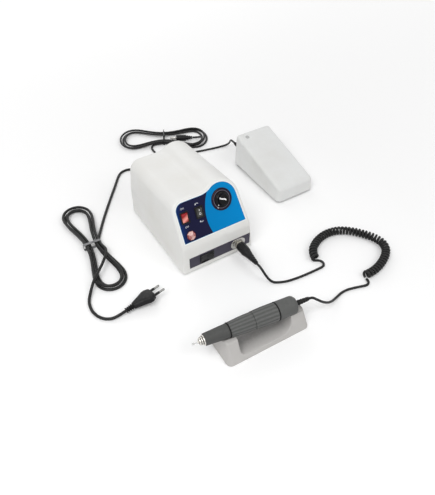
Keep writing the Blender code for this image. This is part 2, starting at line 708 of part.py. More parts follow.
def front_holes(panel, front):
    """The holes that run through the panels and the case's front wall."""
    if HOLES:
        return HOLES
    deep = -CASE_WALL - OVERRUN
    body_width = SWITCH_WIDTH - 2 * BEZEL_LIP + 2 * GAP
    body_length = SWITCH_LENGTH - 2 * BEZEL_LIP + 2 * GAP
    for name, x in (("power_hole", POWER_FROM_LEFT), ("direction_hole", DIRECTION_FROM_LEFT)):
        hole = block(name, (body_width, body_length, 2 * OVERRUN + CASE_WALL), (0, 0, -CASE_WALL / 2))
        HOLES.append(cutter(name, hole, panel, (x, SWITCH_RISE, 0)))
    lamp = rod("lamp_hole", LAMP_STEM_RADIUS + GAP, deep, OVERRUN, SMALL_SIDES)
    HOLES.append(cutter("lamp_hole", lamp, panel, (LAMP_FROM_LEFT, LAMP_RISE, 0)))
    shaft = rod("shaft_hole", POT_BUSH_RADIUS + GAP, deep, OVERRUN, SMALL_SIDES)
    HOLES.append(cutter("shaft_hole", shaft, panel, (CASE_WIDTH - HUMP_FROM_RIGHT, HUMP_RISE, 0)))
    body_width = SELECTOR_WIDTH - 2 * BEZEL_LIP + 2 * GAP
    body_length = SELECTOR_LENGTH - 2 * BEZEL_LIP + 2 * GAP
    hole = block("selector_hole", (body_length, body_width, 2 * OVERRUN + CASE_WALL),
                 (0, 0, -CASE_WALL / 2))
    HOLES.append(cutter("selector_hole", hole, front, (SELECTOR_FROM_LEFT, SELECTOR_HEIGHT, 0)))
    socket = rod("socket_hole", SOCKET_RADIUS + GAP, deep, OVERRUN)
    HOLES.append(cutter("socket_hole", socket, front, (CASE_WIDTH - SOCKET_FROM_RIGHT, SOCKET_HEIGHT, 0)))
    return HOLES


def make_panels(panel, front):
    """The printed front panel with its raised dial, and the lower panel."""
    plate = piece("front_panel", prism("front_panel", panel_outline(PANEL_MARGIN), -PANEL_THICK, 0),
                  "panel_blue", panel)
    dial = rod("dial", DIAL_RADIUS, -PANEL_THICK / 2, DIAL_RAISE, ROUND_SIDES)
    combine(plate, cutter("dial", dial, panel, (CASE_WIDTH - HUMP_FROM_RIGHT, HUMP_RISE, 0)), "UNION")
    holes = front_holes(panel, front)
    for hole in holes[:4]:
        combine(plate, hole)
    outline = [(STRIP_LEFT, STRIP_LOW), (CASE_WIDTH - STRIP_RIGHT, STRIP_LOW),
               (CASE_WIDTH - STRIP_RIGHT, STRIP_HIGH), (STRIP_LEFT, STRIP_HIGH)]
    strip = piece("lower_panel", prism("lower_panel", outline, -PANEL_THICK, 0), "strip_grey", front)
    for hole in holes[4:]:
        combine(strip, hole)


def make_speed_control(panel):
    """The potentiometer behind the panel and the knob on its shaft."""
    place = (CASE_WIDTH - HUMP_FROM_RIGHT, HUMP_RISE, 0)
    behind = -CASE_WALL - GAP
    turned("speed_potentiometer",
           [(0, POT_SHAFT_OUT), (POT_SHAFT_RADIUS, POT_SHAFT_OUT), (POT_SHAFT_RADIUS, 0),
            (POT_BUSH_RADIUS, 0), (POT_BUSH_RADIUS, behind), (POT_RADIUS, behind),
            (POT_RADIUS, behind - POT_DEPTH), (0, behind - POT_DEPTH)], "steel", panel, place,
           sides=SMALL_SIDES)
    skirt = DIAL_RAISE + GAP
    bore = POT_SHAFT_RADIUS + GAP
    knob = turned("speed_knob",
                  [(0, KNOB_HEIGHT), (KNOB_GRIP_RADIUS - 2 * KNOB_DRAFT, KNOB_HEIGHT),
                   (KNOB_GRIP_RADIUS - KNOB_DRAFT, KNOB_HEIGHT - KNOB_DRAFT),
                   (KNOB_GRIP_RADIUS, skirt + KNOB_SKIRT_HEIGHT),
                   (KNOB_SKIRT_RADIUS - KNOB_DRAFT, skirt + KNOB_SKIRT_HEIGHT - KNOB_DRAFT),
                   (KNOB_SKIRT_RADIUS, skirt), (bore, skirt), (bore, POT_SHAFT_OUT + GAP),
                   (0, POT_SHAFT_OUT + GAP)], "black_plastic", panel, place)
    pointer_length = 2 * (KNOB_GRIP_RADIUS - 2 * KNOB_DRAFT)
    pointer = block("pointer", (pointer_length, POINTER_WIDTH, 2 * POINTER_RAISE), (0, 0, KNOB_HEIGHT))
    combine(knob, cutter("pointer", pointer, panel, place, (0, 0, POINTER_TURN)), "UNION")


def rocker_switch(name, finish_name, parent, place, turn, width, length, tilt):
    """A rocker switch: a body with an open pocket, and the rocker that tilts in it."""
    body_x, body_y = width / 2 - BEZEL_LIP, length / 2 - BEZEL_LIP
    rings = []
    for x, y, z in ((body_x, body_y, -SWITCH_DEPTH), (body_x, body_y, GAP),
                    (width / 2, length / 2, GAP), (width / 2, length / 2, GAP + BEZEL_THICK)):
        rings.append([(x, y, z), (-x, y, z), (-x, -y, z), (x, -y, z)])
    body = piece(name + "_switch", loft(name + "_switch", rings), "black_plastic", parent, place, turn)
    window_x, window_y = body_x - BEZEL_LIP / 2, body_y - BEZEL_LIP / 2
    pocket_top = GAP + BEZEL_THICK + OVERRUN
    pocket = block("pocket", (2 * window_x, 2 * window_y, SWITCH_POCKET + pocket_top),
                   (0, 0, (pocket_top - SWITCH_POCKET) / 2))
    combine(body, cutter("pocket", pocket, parent, place, turn))
    reach = window_y - ROCKER_GAP
    right = arc((0, 0), reach, -ROCKER_TOP + tilt, ROCKER_TOP + tilt, BEND_STEPS)
    left = arc((0, 0), reach, math.pi - ROCKER_TOP + tilt, math.pi + ROCKER_TOP + tilt, BEND_STEPS)
    dip = [(-ROCKER_DIP * math.sin(tilt), ROCKER_DIP * math.cos(tilt))]
    half = window_x - ROCKER_GAP
    side = [(y, z) for y, z in right + dip + left]
    rings = [[(x, y, z) for y, z in side] for x in (-half, half)]
    piece(name + "_rocker", loft(name + "_rocker", rings), finish_name, parent, place, turn)


def make_front_controls(panel, front):
    """Switches, pilot lamp and motor socket."""
    upright = (0, 0, 0)
    rocker_switch("power", "rocker_red", panel, (POWER_FROM_LEFT, SWITCH_RISE, 0), upright,
                  SWITCH_WIDTH, SWITCH_LENGTH, ROCKER_TILT)
    rocker_switch("direction", "black_plastic", panel, (DIRECTION_FROM_LEFT, SWITCH_RISE, 0), upright,
                  SWITCH_WIDTH, SWITCH_LENGTH, ROCKER_TILT)
    lying = (0, 0, math.pi / 2)
    rocker_switch("selector", "black_plastic", front, (SELECTOR_FROM_LEFT, SELECTOR_HEIGHT, 0), lying,
                  SELECTOR_WIDTH, SELECTOR_LENGTH, -ROCKER_TILT)
    turned("pilot_lamp",
           [(0, LAMP_HEIGHT), (LAMP_CROWN_RADIUS, LAMP_HEIGHT), (LAMP_RADIUS, LAMP_RIM_HEIGHT),
            (LAMP_RADIUS, GAP), (LAMP_STEM_RADIUS, GAP), (LAMP_STEM_RADIUS, -LAMP_DEPTH),
            (0, -LAMP_DEPTH)], "lamp_red", panel, (LAMP_FROM_LEFT, LAMP_RISE, 0), sides=LENS_SIDES)
    place = (CASE_WIDTH - SOCKET_FROM_RIGHT, SOCKET_HEIGHT, 0)
    flange_middle = GAP + SOCKET_FLANGE_THICK / 2
    socket = turned("motor_socket",
                    [(0, -SOCKET_BORE_DEPTH), (SOCKET_BORE, -SOCKET_BORE_DEPTH),
                     (SOCKET_BORE, SOCKET_COLLAR_HEIGHT), (SOCKET_COLLAR_RADIUS, SOCKET_COLLAR_HEIGHT),
                     (SOCKET_COLLAR_RADIUS, flange_middle), (SOCKET_RADIUS, flange_middle),
                     (SOCKET_RADIUS, -SOCKET_DEPTH), (0, -SOCKET_DEPTH)], "nickel", front, place)
    radius = SOCKET_FLANGE_HEIGHT / 2 - GAP
    flange_outline = rounded_rectangle(SOCKET_FLANGE_WIDTH, SOCKET_FLANGE_HEIGHT, radius)
    flange = cutter("flange", prism("flange", flange_outline, GAP, GAP + SOCKET_FLANGE_THICK), front, place)
    bore_radius = (SOCKET_BORE + SOCKET_RADIUS) / 2
    bore = cutter("flange_bore", rod("flange_bore", bore_radius, -OVERRUN, OVERRUN), front, place)
    combine(flange, bore)
    combine(socket, flange, "UNION")


def make_motor_plug(front):
    """The round plug in the motor socket, with its grip and ribbed boot."""
    place = (CASE_WIDTH - SOCKET_FROM_RIGHT, SOCKET_HEIGHT, 0)
    boot = ribbed(PLUG_NECK_START, PLUG_END, PLUG_NECK_RADIUS, PLUG_END_RADIUS, RELIEF_RIBS,
                  RELIEF_RIB_DEPTH)
    shoulder = PLUG_GRIP_RADIUS - RELIEF_RIB_DEPTH
    profile = [(0, PLUG_END)] + boot[::-1] + [
        (shoulder, PLUG_GRIP_END), (PLUG_GRIP_RADIUS, PLUG_GRIP_START + 2 * RELIEF_RIB_DEPTH),
        (shoulder, PLUG_GRIP_START), (PLUG_SHELL_RADIUS, PLUG_GRIP_START),
        (PLUG_SHELL_RADIUS, -PLUG_SHELL_IN), (0, -PLUG_SHELL_IN)]
    turned("motor_plug", profile, "black_plastic", front, place, sides=PLUG_SIDES)


def make_rear_ports(rear):
    """The mains lead's gland and the pedal socket."""
    place = (CASE_WIDTH - MAINS_FROM_LEFT, REAR_PORT_HEIGHT, 0)
    boot = ribbed(GAP + GLAND_FLANGE_THICK, GLAND_OUT, GLAND_NECK_RADIUS, GLAND_END_RADIUS,
                  RELIEF_RIBS, RELIEF_RIB_DEPTH)
    profile = [(0, GLAND_OUT)] + boot[::-1] + [
        (GLAND_RADIUS, GAP + GLAND_FLANGE_THICK), (GLAND_RADIUS, GAP), (GLAND_NECK_RADIUS, GAP),
        (GLAND_NECK_RADIUS, -GLAND_IN), (0, -GLAND_IN)]
    turned("mains_gland", profile, "rubber_black", rear, place, sides=SMALL_SIDES)
    place = (CASE_WIDTH - JACK_FROM_LEFT, REAR_PORT_HEIGHT, 0)
    turned("pedal_socket",
           [(0, JACK_NUT_HEIGHT - JACK_BORE_DEPTH), (JACK_BORE, JACK_NUT_HEIGHT - JACK_BORE_DEPTH),
            (JACK_BORE, JACK_NUT_HEIGHT), (JACK_NUT_RADIUS, JACK_NUT_HEIGHT), (JACK_NUT_RADIUS, GAP),
            (JACK_NECK_RADIUS, GAP), (JACK_NECK_RADIUS, -JACK_DEPTH), (0, -JACK_DEPTH)],
           "nickel", rear, place, sides=SMALL_SIDES)


def make_inside(box):
    """Base plate on its feet, transformer and circuit board."""
    width = CASE_WIDTH - 2 * CASE_WALL - 2 * BASE_CLEARANCE
    depth = CASE_DEPTH - 2 * CASE_WALL - 2 * BASE_CLEARANCE
    middle = (CASE_WIDTH / 2, CASE_DEPTH / 2, BASE_UNDERSIDE + BASE_THICK / 2)
    base = piece("base_plate", block("base_plate", (width, depth, BASE_THICK), middle), "base_dark", box)
    top = BASE_UNDERSIDE + BASE_THICK
    board = (BOARD_FROM_LEFT, BOARD_FROM_FRONT)
    for side in (-1, 1):
        for end in (-1, 1):
            place = (board[0] + side * (BOARD_WIDTH / 2 - POST_INSET),
                     board[1] + end * (BOARD_DEPTH / 2 - POST_INSET), 0)
            post = rod("post", POST_RADIUS, BASE_UNDERSIDE + BASE_THICK / 2, top + POST_HEIGHT, SMALL_SIDES)
            combine(base, cutter("post", post, box, place), "UNION")
    for name, y in (("front_foot", FOOT_INSET), ("rear_foot", CASE_DEPTH - FOOT_INSET)):
        height = BASE_UNDERSIDE - GAP
        foot = block(name, (FOOT_WIDTH, FOOT_DEPTH, height), (CASE_WIDTH / 2, y, height / 2))
        piece(name, foot, "rubber_black", box)
    core_centre = (CORE_FROM_LEFT, CASE_DEPTH - CORE_FROM_BACK, top + GAP + CORE_HEIGHT / 2)
    core = piece("transformer", block("transformer", (CORE_WIDTH, CORE_DEPTH, CORE_HEIGHT)), "iron",
                 box, core_centre)
    coil = cutter("coil", block("coil", (COIL_WIDTH, COIL_DEPTH, COIL_HEIGHT)), box, core_centre)
    combine(core, coil, "UNION")
    level = top + POST_HEIGHT + GAP
    card = piece("circuit_board", block("circuit_board", (BOARD_WIDTH, BOARD_DEPTH, BOARD_THICK),
                                        (0, 0, BOARD_THICK / 2)), "circuit_green", box, (*board, level))
    can = rod("capacitor", CAPACITOR_RADIUS, BOARD_THICK / 2, BOARD_THICK + CAPACITOR_HEIGHT, SMALL_SIDES)
    quarter = BOARD_WIDTH / 4
    combine(card, cutter("capacitor", can, box, (board[0] + quarter, board[1], level)), "UNION")
    sink = block("heatsink", HEATSINK_SIZE, (0, 0, BOARD_THICK / 2 + HEATSINK_SIZE[2] / 2))
    combine(card, cutter("heatsink", sink, box, (board[0] - quarter, board[1], level)), "UNION")


def pedal_ring(inset, rise, lift):
    """A rounded outline of the pedal, at a share of the way from its rim to its top plane."""
    width, length = PEDAL_WIDTH - 2 * inset, PEDAL_LENGTH - 2 * inset
    radius = max(PEDAL_PLAN_RADIUS - inset, PEDAL_WALL)
    points = []
    for x, y in rounded_rectangle(width, length, radius):
        share = y / PEDAL_LENGTH + 0.5
        rim = PEDAL_RIM_FRONT + (PEDAL_RIM_REAR - PEDAL_RIM_FRONT) * share
        top = PEDAL_FRONT_HEIGHT + (PEDAL_REAR_HEIGHT - PEDAL_FRONT_HEIGHT) * share
        points.append((x + PEDAL_WIDTH / 2, y + PEDAL_LENGTH / 2, (top if rise else rim) + lift))
    return points


def make_pedal(pedal):
    """The tilting cover, its base, pivot, spring, switch and cable boot."""
    rings = [pedal_ring(0, False, 0)]
    for step in range(CORNER_STEPS + 1):
        angle = math.pi / 2 * step / CORNER_STEPS
        inset = PEDAL_TAPER + PEDAL_TOP_ROUND * (1 - math.cos(angle))
        rings.append(pedal_ring(inset, True, -PEDAL_TOP_ROUND * (1 - math.sin(angle))))
    cover = piece("pedal_cover", loft("pedal_cover", rings), "pale_pedal", pedal)
    low = [(x, y, -OVERRUN) for x, y, z in pedal_ring(PEDAL_WALL, False, 0)]
    high = pedal_ring(PEDAL_WALL + PEDAL_TAPER, True, -PEDAL_WALL)
    combine(cover, cutter("pedal_hollow", loft("pedal_hollow", [low, high]), pedal))
    middle = PEDAL_WIDTH / 2
    wall = PEDAL_WALL / 2
    rib_width = middle - wall - RIB_INNER_FACE
    for side in (-1, 1):
        centre = (middle + side * (RIB_INNER_FACE + rib_width / 2), PIVOT_FROM_FRONT, PIVOT_HEIGHT)
        rib = block("pedal_rib", (rib_width, RIB_DEPTH, RIB_HEIGHT), centre)
        combine(cover, cutter("pedal_rib", rib, pedal), "UNION")
    across = (0, math.pi / 2, 0)
    reach = PIVOT_LENGTH / 2 + GAP
    bore = cutter("pivot_bore", rod("pivot_bore", PIVOT_HOLE, -reach, reach, SMALL_SIDES), pedal,
                  (middle, PIVOT_FROM_FRONT, PIVOT_HEIGHT), across)
    combine(cover, bore)
    block_top = PEDAL_BASE_THICK + GAP + SWITCH_BLOCK[2]
    pusher_foot = block_top + PLUNGER_HEIGHT + PUSHER_CLEARANCE
    pusher = block("pusher", (PUSHER_WIDTH, PUSHER_WIDTH, PUSHER_TOP - pusher_foot),
                   (middle, SWITCH_BLOCK_FROM_FRONT, (PUSHER_TOP + pusher_foot) / 2))
    combine(cover, cutter("pusher", pusher, pedal), "UNION")
    slot_half = BOOT_RADIUS + BOOT_SLOT_SIDE
    slot_low = CABLE_EXIT_HEIGHT - slot_half
    slot_high = CABLE_EXIT_HEIGHT + slot_half + BOOT_SLOT_RISE
    slot = block("boot_slot", (2 * slot_half, 2 * OVERRUN + 2 * PEDAL_WALL, slot_high - slot_low),
                 (CABLE_EXIT_FROM_LEFT, PEDAL_LENGTH, (slot_low + slot_high) / 2))
    combine(cover, cutter("boot_slot", slot, pedal))
    slope = math.atan2(PEDAL_REAR_HEIGHT - PEDAL_FRONT_HEIGHT, PEDAL_LENGTH)
    dimple_y = PEDAL_LENGTH - PEDAL_DIMPLE_FROM_BACK
    dimple_z = PEDAL_FRONT_HEIGHT + dimple_y * math.tan(slope)
    dimple = rod("dimple", PEDAL_DIMPLE_RADIUS, -PEDAL_DIMPLE_DEPTH, OVERRUN, SMALL_SIDES)
    combine(cover, cutter("dimple", dimple, pedal, (PEDAL_DIMPLE_FROM_LEFT, dimple_y, dimple_z),
                          (slope, 0, 0)))

    outline = [(x + middle, y + PEDAL_LENGTH / 2) for x, y in rounded_rectangle(
        PEDAL_WIDTH - 2 * PEDAL_BASE_INSET, PEDAL_LENGTH - 2 * PEDAL_BASE_INSET,
        PEDAL_PLAN_RADIUS - PEDAL_BASE_INSET)]
    base = piece("pedal_base", prism("pedal_base", outline, 0, PEDAL_BASE_THICK), "base_dark", pedal)
    for side in (-1, 1):
        centre = (middle + side * (LUG_OUTER_FACE - LUG_THICK / 2), PIVOT_FROM_FRONT,
                  (LUG_TOP + PEDAL_BASE_THICK / 2) / 2)
        lug = block("lug", (LUG_THICK, RIB_DEPTH, LUG_TOP - PEDAL_BASE_THICK / 2), centre)
        combine(base, cutter("lug", lug, pedal), "UNION")
    bracket_y = PEDAL_LENGTH - CABLE_BRACKET_FROM_REAR
    bracket = block("bracket", (CABLE_BRACKET_WIDTH, CABLE_BRACKET_THICK,
                                CABLE_BRACKET_TOP - PEDAL_BASE_THICK / 2),
                    (CABLE_EXIT_FROM_LEFT + GAP, bracket_y + CABLE_BRACKET_THICK / 2,
                     (CABLE_BRACKET_TOP + PEDAL_BASE_THICK / 2) / 2))
    combine(base, cutter("bracket", bracket, pedal), "UNION")
    combine(base, bore)
    backward = (-math.pi / 2, 0, 0)
    exit_place = (CABLE_EXIT_FROM_LEFT, bracket_y, CABLE_EXIT_HEIGHT)
    hole = rod("boot_hole", BOOT_NECK_RADIUS + GAP, -OVERRUN, CABLE_BRACKET_THICK + OVERRUN, SMALL_SIDES)
    combine(base, cutter("boot_hole", hole, pedal, exit_place, backward))

    piece("pedal_pivot_pin", rod("pedal_pivot_pin", PIVOT_RADIUS, -PIVOT_LENGTH / 2, PIVOT_LENGTH / 2,
                                 SMALL_SIDES), "steel", pedal,
          (middle, PIVOT_FROM_FRONT, PIVOT_HEIGHT), across)
    switch = piece("pedal_switch", block("pedal_switch", SWITCH_BLOCK, (0, 0, SWITCH_BLOCK[2] / 2)),
                   "black_plastic", pedal, (middle, SWITCH_BLOCK_FROM_FRONT, PEDAL_BASE_THICK + GAP))
    plunger = rod("plunger", PLUNGER_RADIUS, SWITCH_BLOCK[2] - PLUNGER_HEIGHT,
                  SWITCH_BLOCK[2] + PLUNGER_HEIGHT, SMALL_SIDES)
    plunger_place = (middle, SWITCH_BLOCK_FROM_FRONT, PEDAL_BASE_THICK + GAP)
    combine(switch, cutter("plunger", plunger, pedal, plunger_place), "UNION")
    flange = CABLE_BRACKET_THICK + GAP
    out = CABLE_BRACKET_FROM_REAR + BOOT_OUT
    turned("pedal_cable_boot",
           [(0, out), (BOOT_END_RADIUS, out), (BOOT_RADIUS, CABLE_BRACKET_FROM_REAR),
            (BOOT_RADIUS, flange + BOOT_FLANGE_THICK), (BOOT_FLANGE_RADIUS, flange + BOOT_FLANGE_THICK),
            (BOOT_FLANGE_RADIUS, flange), (BOOT_NECK_RADIUS, flange),
            (BOOT_NECK_RADIUS, -BOOT_FLANGE_THICK), (0, -BOOT_FLANGE_THICK)],
           "pale_pedal", pedal, exit_place, backward, sides=SMALL_SIDES)
    make_pedal_spring(pedal, middle)


def make_pedal_spring(pedal, middle):
    """The torsion spring wound round the pivot pin."""
    points = []
    total = SPRING_CURLS * CURL_POINTS
    for i in range(total + 1):
        angle = 2 * math.pi * i / CURL_POINTS
        along = (i / total - 0.5) * SPRING_CURLS * SPRING_PITCH
        points.append((along, SPRING_MEAN_RADIUS * math.cos(angle), SPRING_MEAN_RADIUS * math.sin(angle)))
    tube("pedal_spring", points, SPRING_WIRE, FORM_SIDES, "steel", pedal,
         (middle, PIVOT_FROM_FRONT, PIVOT_HEIGHT))


def tube(name, points, diameter, detail, finish_name, parent, location=(0, 0, 0), cyclic=False):
    """A round cord or wire along its points, with closed ends."""
    curve = bpy.data.curves.new(name, "CURVE")
    curve.dimensions = "3D"
    curve.bevel_depth = diameter / 2
    curve.bevel_resolution = detail
    curve.use_fill_caps = not cyclic
    spline = curve.splines.new("POLY")
    spline.points.add(len(points) - 1)
    for target, point in zip(spline.points, points):
        target.co = (*point, 1)
    spline.use_cyclic_u = cyclic
    return piece(name, curve, finish_name, parent, location)


def smooth_route(points, spacing):
    """Points at an even spacing along one smooth curve through the route's own points."""
    knots = np.array(points, float)
    chords = np.sqrt(np.linalg.norm(np.diff(knots, axis=0), axis=1))
    places = np.concatenate([[0], np.cumsum(chords)])
    slopes = np.gradient(knots, places, axis=0)
    dense = []
    for i in range(len(knots) - 1):
        span = places[i + 1] - places[i]
        for s in np.linspace(0, 1, SPAN_SAMPLES, endpoint=False):
            h00, h10 = 2 * s ** 3 - 3 * s ** 2 + 1, s ** 3 - 2 * s ** 2 + s
            h01, h11 = 3 * s ** 2 - 2 * s ** 3, s ** 3 - s ** 2
            dense.append(h00 * knots[i] + h10 * span * slopes[i] + h01 * knots[i + 1]
                         + h11 * span * slopes[i + 1])
    dense = np.array(dense + [knots[-1]])
    lengths = np.concatenate([[0], np.cumsum(np.linalg.norm(np.diff(dense, axis=0), axis=1))])
    count = max(int(round(lengths[-1] / spacing)), 2)
    even = np.linspace(0, lengths[-1], count + 1)
    return np.array([np.interp(even, lengths, dense[:, k]) for k in range(3)]).T


def lead_route(route, diameter, step_share=ROUTE_STEP_SHARE):
    """A lead's evenly spaced points, none of them under the table."""
    points = smooth_route(route_in_metres(route), step_share * diameter)
    points[:, 2] = np.maximum(points[:, 2], diameter / 2)
    return points


def route_in_metres(route):
    return [tuple(value * MM for value in point) for point in route]


def length_of(points):
    return float(np.linalg.norm(np.diff(np.array(points), axis=0), axis=1).sum())


def least_self_gap(points, diameter):
    """The least clear distance between two stretches of one tube that aren't neighbours."""
    path = np.array(points, float)
    steps = np.linalg.norm(np.diff(path, axis=0), axis=1)
    along = np.concatenate([[0], np.cumsum(steps)])
    least = along[-1]
    for i in range(len(path)):
        starts, ends = path[:-1], path[1:]
        runs = ends - starts
        share = np.clip(((path[i] - starts) * runs).sum(1) / (runs ** 2).sum(1), 0, 1)
        near = starts + runs * share[:, None]
        apart = np.abs(along[:-1] + share * steps - along[i]) > NEIGHBOUR_SHARE * diameter
        if apart.any():
            least = min(least, float(np.linalg.norm(path[i] - near, axis=1)[apart].min()))
    return least - diameter


def report_gap(name, points, diameter):
    gap = least_self_gap(points, diameter) / MM
    print(f"{name}: length {length_of(points) / MM:.0f} mm, least gap to itself {gap:.2f} mm")


def curly_points():
    """The curly lead: curls wound round a smooth route, resting on the table."""
    height = CURL_RADIUS + MOTOR_LEAD / 2
    knots = [(x * MM, y * MM, height) for x, y in CURLY_ROUTE]
    centre = smooth_route(knots, MM)
    total = length_of(centre)
    curls = int(total / CURL_PITCH)
    places = np.linspace(0, total, len(centre))
    headings = np.gradient(centre, axis=0)
    points = []
    for i in range(curls * CURL_POINTS + 1):
        here = total * i / (curls * CURL_POINTS)
        middle = np.array([np.interp(here, places, centre[:, k]) for k in range(3)])
        ahead = np.array([np.interp(here, places, headings[:, k]) for k in range(3)])
        ahead /= np.linalg.norm(ahead)
        right = np.array([ahead[1], -ahead[0], 0])
        angle = -math.pi / 2 - 2 * math.pi * i / CURL_POINTS
        outward = math.cos(angle) * right + math.sin(angle) * np.array([0, 0, 1])
        points.append(middle + CURL_RADIUS * outward)
    tails = []
    for end, inner in ((0, 1), (-1, -2)):
        step = points[end] - points[inner]
        step[2] = 0
        tails.append(points[end] + step / np.linalg.norm(step) * MOTOR_LEAD)
    return [tails[0], *points, tails[1]]


def hank_shape(phase, half, spread, waist_share):
    """A lengthwise loop drawn in at the waist, and its outward side."""
    def at(t):
        side, end = math.sin(t), math.cos(t)
        return np.array([half * end * (1 + BLUNT_SHARE - BLUNT_SHARE * end ** 2),
                         spread * side * (1 - waist_share * side ** 4)])
    forward = at(phase + PHASE_STEP) - at(phase - PHASE_STEP)
    forward /= np.linalg.norm(forward)
    return at(phase), np.array([forward[1], -forward[0]])


def hank_points(centre, turn, half, spread, waist_share, fan_share, diameter, direction, start):
    """A tied hank in two layers: it spirals in, climbs a layer at the reversal, and spirals out."""
    pitch = diameter + LOOP_CLEARANCE
    axis = np.array([math.cos(turn), math.sin(turn)])
    across = np.array([-axis[1], axis[0]])
    reversal = LOOP_COUNT / 2
    points = []
    total = LOOP_COUNT * LOOP_POINTS
    for i in range(total + 1):
        turns = i / LOOP_POINTS
        phase = start + direction * 2 * math.pi * turns
        base, outward = hank_shape(phase, half, spread, waist_share)
        fan = 1 + fan_share * math.cos(phase) ** 2
        base = base + outward * abs(reversal - turns) * pitch * fan
        climb = min(max(2 * (turns - reversal) + 0.5, 0), 1)
        climb = climb * climb * (3 - 2 * climb)
        height = diameter / 2 + climb * pitch + TIE_LIFT * math.sin(phase) ** 8
        place = np.array(centre) + axis * base[0] + across * base[1]
        points.append(np.array([place[0], place[1], height]))
    return points


def tie_points(centre, turn, waist, diameter):
    """The ring of wire that holds a hank at its waist."""
    pitch = diameter + LOOP_CLEARANCE
    axis = np.array([math.cos(turn), math.sin(turn)])
    across = np.array([-axis[1], axis[0]])
    half_width = waist + LOOP_COUNT / 2 * pitch + diameter / 2 + GAP + TIE_WIRE / 2
    low = TIE_WIRE / 2
    high = TIE_LIFT + diameter + pitch + TIE_WIRE / 2 + GAP
    radius = diameter / 2
    ring = rounded_rectangle(2 * half_width, high - low, radius, CORNER_STEPS)
    return [(centre[0] + across[0] * s, centre[1] + across[1] * s, (low + high) / 2 + z) for s, z in ring]


def make_motor_lead(box):
    """Plug to curly section to handpiece."""
    front = lead_route(MOTOR_ROUTE_FRONT, MOTOR_LEAD, HOOK_STEP_SHARE)
    tube("motor_lead_front", front, MOTOR_LEAD, LEAD_SIDES, "lead_black", box)
    curls = curly_points()
    tube("motor_lead_curly", curls, MOTOR_LEAD, FORM_SIDES, "lead_black", box)
    rear = lead_route(MOTOR_ROUTE_REAR, MOTOR_LEAD, HOOK_STEP_SHARE)
    tube("motor_lead_rear", rear, MOTOR_LEAD, LEAD_SIDES, "lead_black", box)
    report_gap("motor_lead_curly", curls, MOTOR_LEAD)
    print("curly ends", np.round(curls[0] / MM, 1), np.round(curls[-1] / MM, 1))
    print(f"motor lead stretches {length_of(front) / MM:.0f} and {length_of(rear) / MM:.0f} mm")


def make_mains_lead(box):
    """Box to tied hank to mains plug."""
    first = lead_route(MAINS_ROUTE_BOX, MAINS_LEAD)
    tube("mains_lead_box", first, MAINS_LEAD, LEAD_SIDES, "lead_black", box)
    hank = hank_points(MAINS_HANK_CENTRE, MAINS_HANK_TURN, MAINS_HANK_HALF, MAINS_HANK_SPREAD,
                       MAINS_WAIST_SHARE, MAINS_FAN_SHARE, MAINS_LEAD, -1, math.pi / 2)
    tube("mains_lead_hank", hank, MAINS_LEAD, FORM_SIDES, "lead_black", box)
    waist = MAINS_HANK_SPREAD * (1 - MAINS_WAIST_SHARE)
    tie = tie_points(MAINS_HANK_CENTRE, MAINS_HANK_TURN, waist, MAINS_LEAD)
    tube("mains_lead_tie", tie, TIE_WIRE, FORM_SIDES, "rubber_black", box, cyclic=True)
    last = lead_route(MAINS_ROUTE_PLUG, MAINS_LEAD)
    tube("mains_lead_plug_end", last, MAINS_LEAD, LEAD_SIDES, "lead_black", box)
    report_gap("mains_lead_hank", hank, MAINS_LEAD)
    print("hank ends", np.round(hank[0] / MM, 1), np.round(hank[-1] / MM, 1))
    print(f"mains lead stretches {length_of(first) / MM:.0f} and {length_of(last) / MM:.0f} mm")


def make_mains_plug(box):
    """A flat two-pin plug lying on one wing, with its two pins."""
    carrier = frame("mains_plug_frame", (*MAINS_PLUG_REAR, MAINS_PLUG_HEIGHT), parent=box)
    carrier.rotation_mode = "QUATERNION"
    turn = Matrix.Rotation(MAINS_PLUG_TURN, 3, "Z") @ Matrix.Rotation(-MAINS_PLUG_PITCH, 3, "Y")
    carrier.rotation_quaternion = (turn @ Matrix.Rotation(MAINS_PLUG_ROLL, 3, "X")).to_quaternion()
    rings = []
    for x, width, thick in zip(PLUG_SECTION_PLACES, PLUG_SECTION_WIDTHS, PLUG_SECTION_THICKS):
        ring = []
        for i in range(PLUG_SECTION_POINTS):
            angle = 2 * math.pi * i / PLUG_SECTION_POINTS
            side, up = math.cos(angle), math.sin(angle)
            y = math.copysign(abs(side) ** PLUG_SECTION_POWER, side) * width / 2
            z = math.copysign(abs(up) ** PLUG_SECTION_POWER, up) * thick / 2
            ring.append((x, y, z))
        rings.append(ring)
    body = piece("mains_plug", loft("mains_plug", rings), "black_plastic", carrier)
    forward = (0, math.pi / 2, 0)
    for name, side in (("mains_pin_left", 1), ("mains_pin_right", -1)):
        place = (MAINS_PLUG_LENGTH - PIN_INSIDE, side * PIN_SPACING / 2, 0)
        bore = rod("pin_bore", PIN_RADIUS + GAP, -GAP, PIN_INSIDE + OVERRUN, SMALL_SIDES)
        combine(body, cutter("pin_bore", bore, carrier, place, forward))
        piece(name, rod(name, PIN_RADIUS, 0, PIN_LENGTH, SMALL_SIDES), "brass", carrier, place, forward)


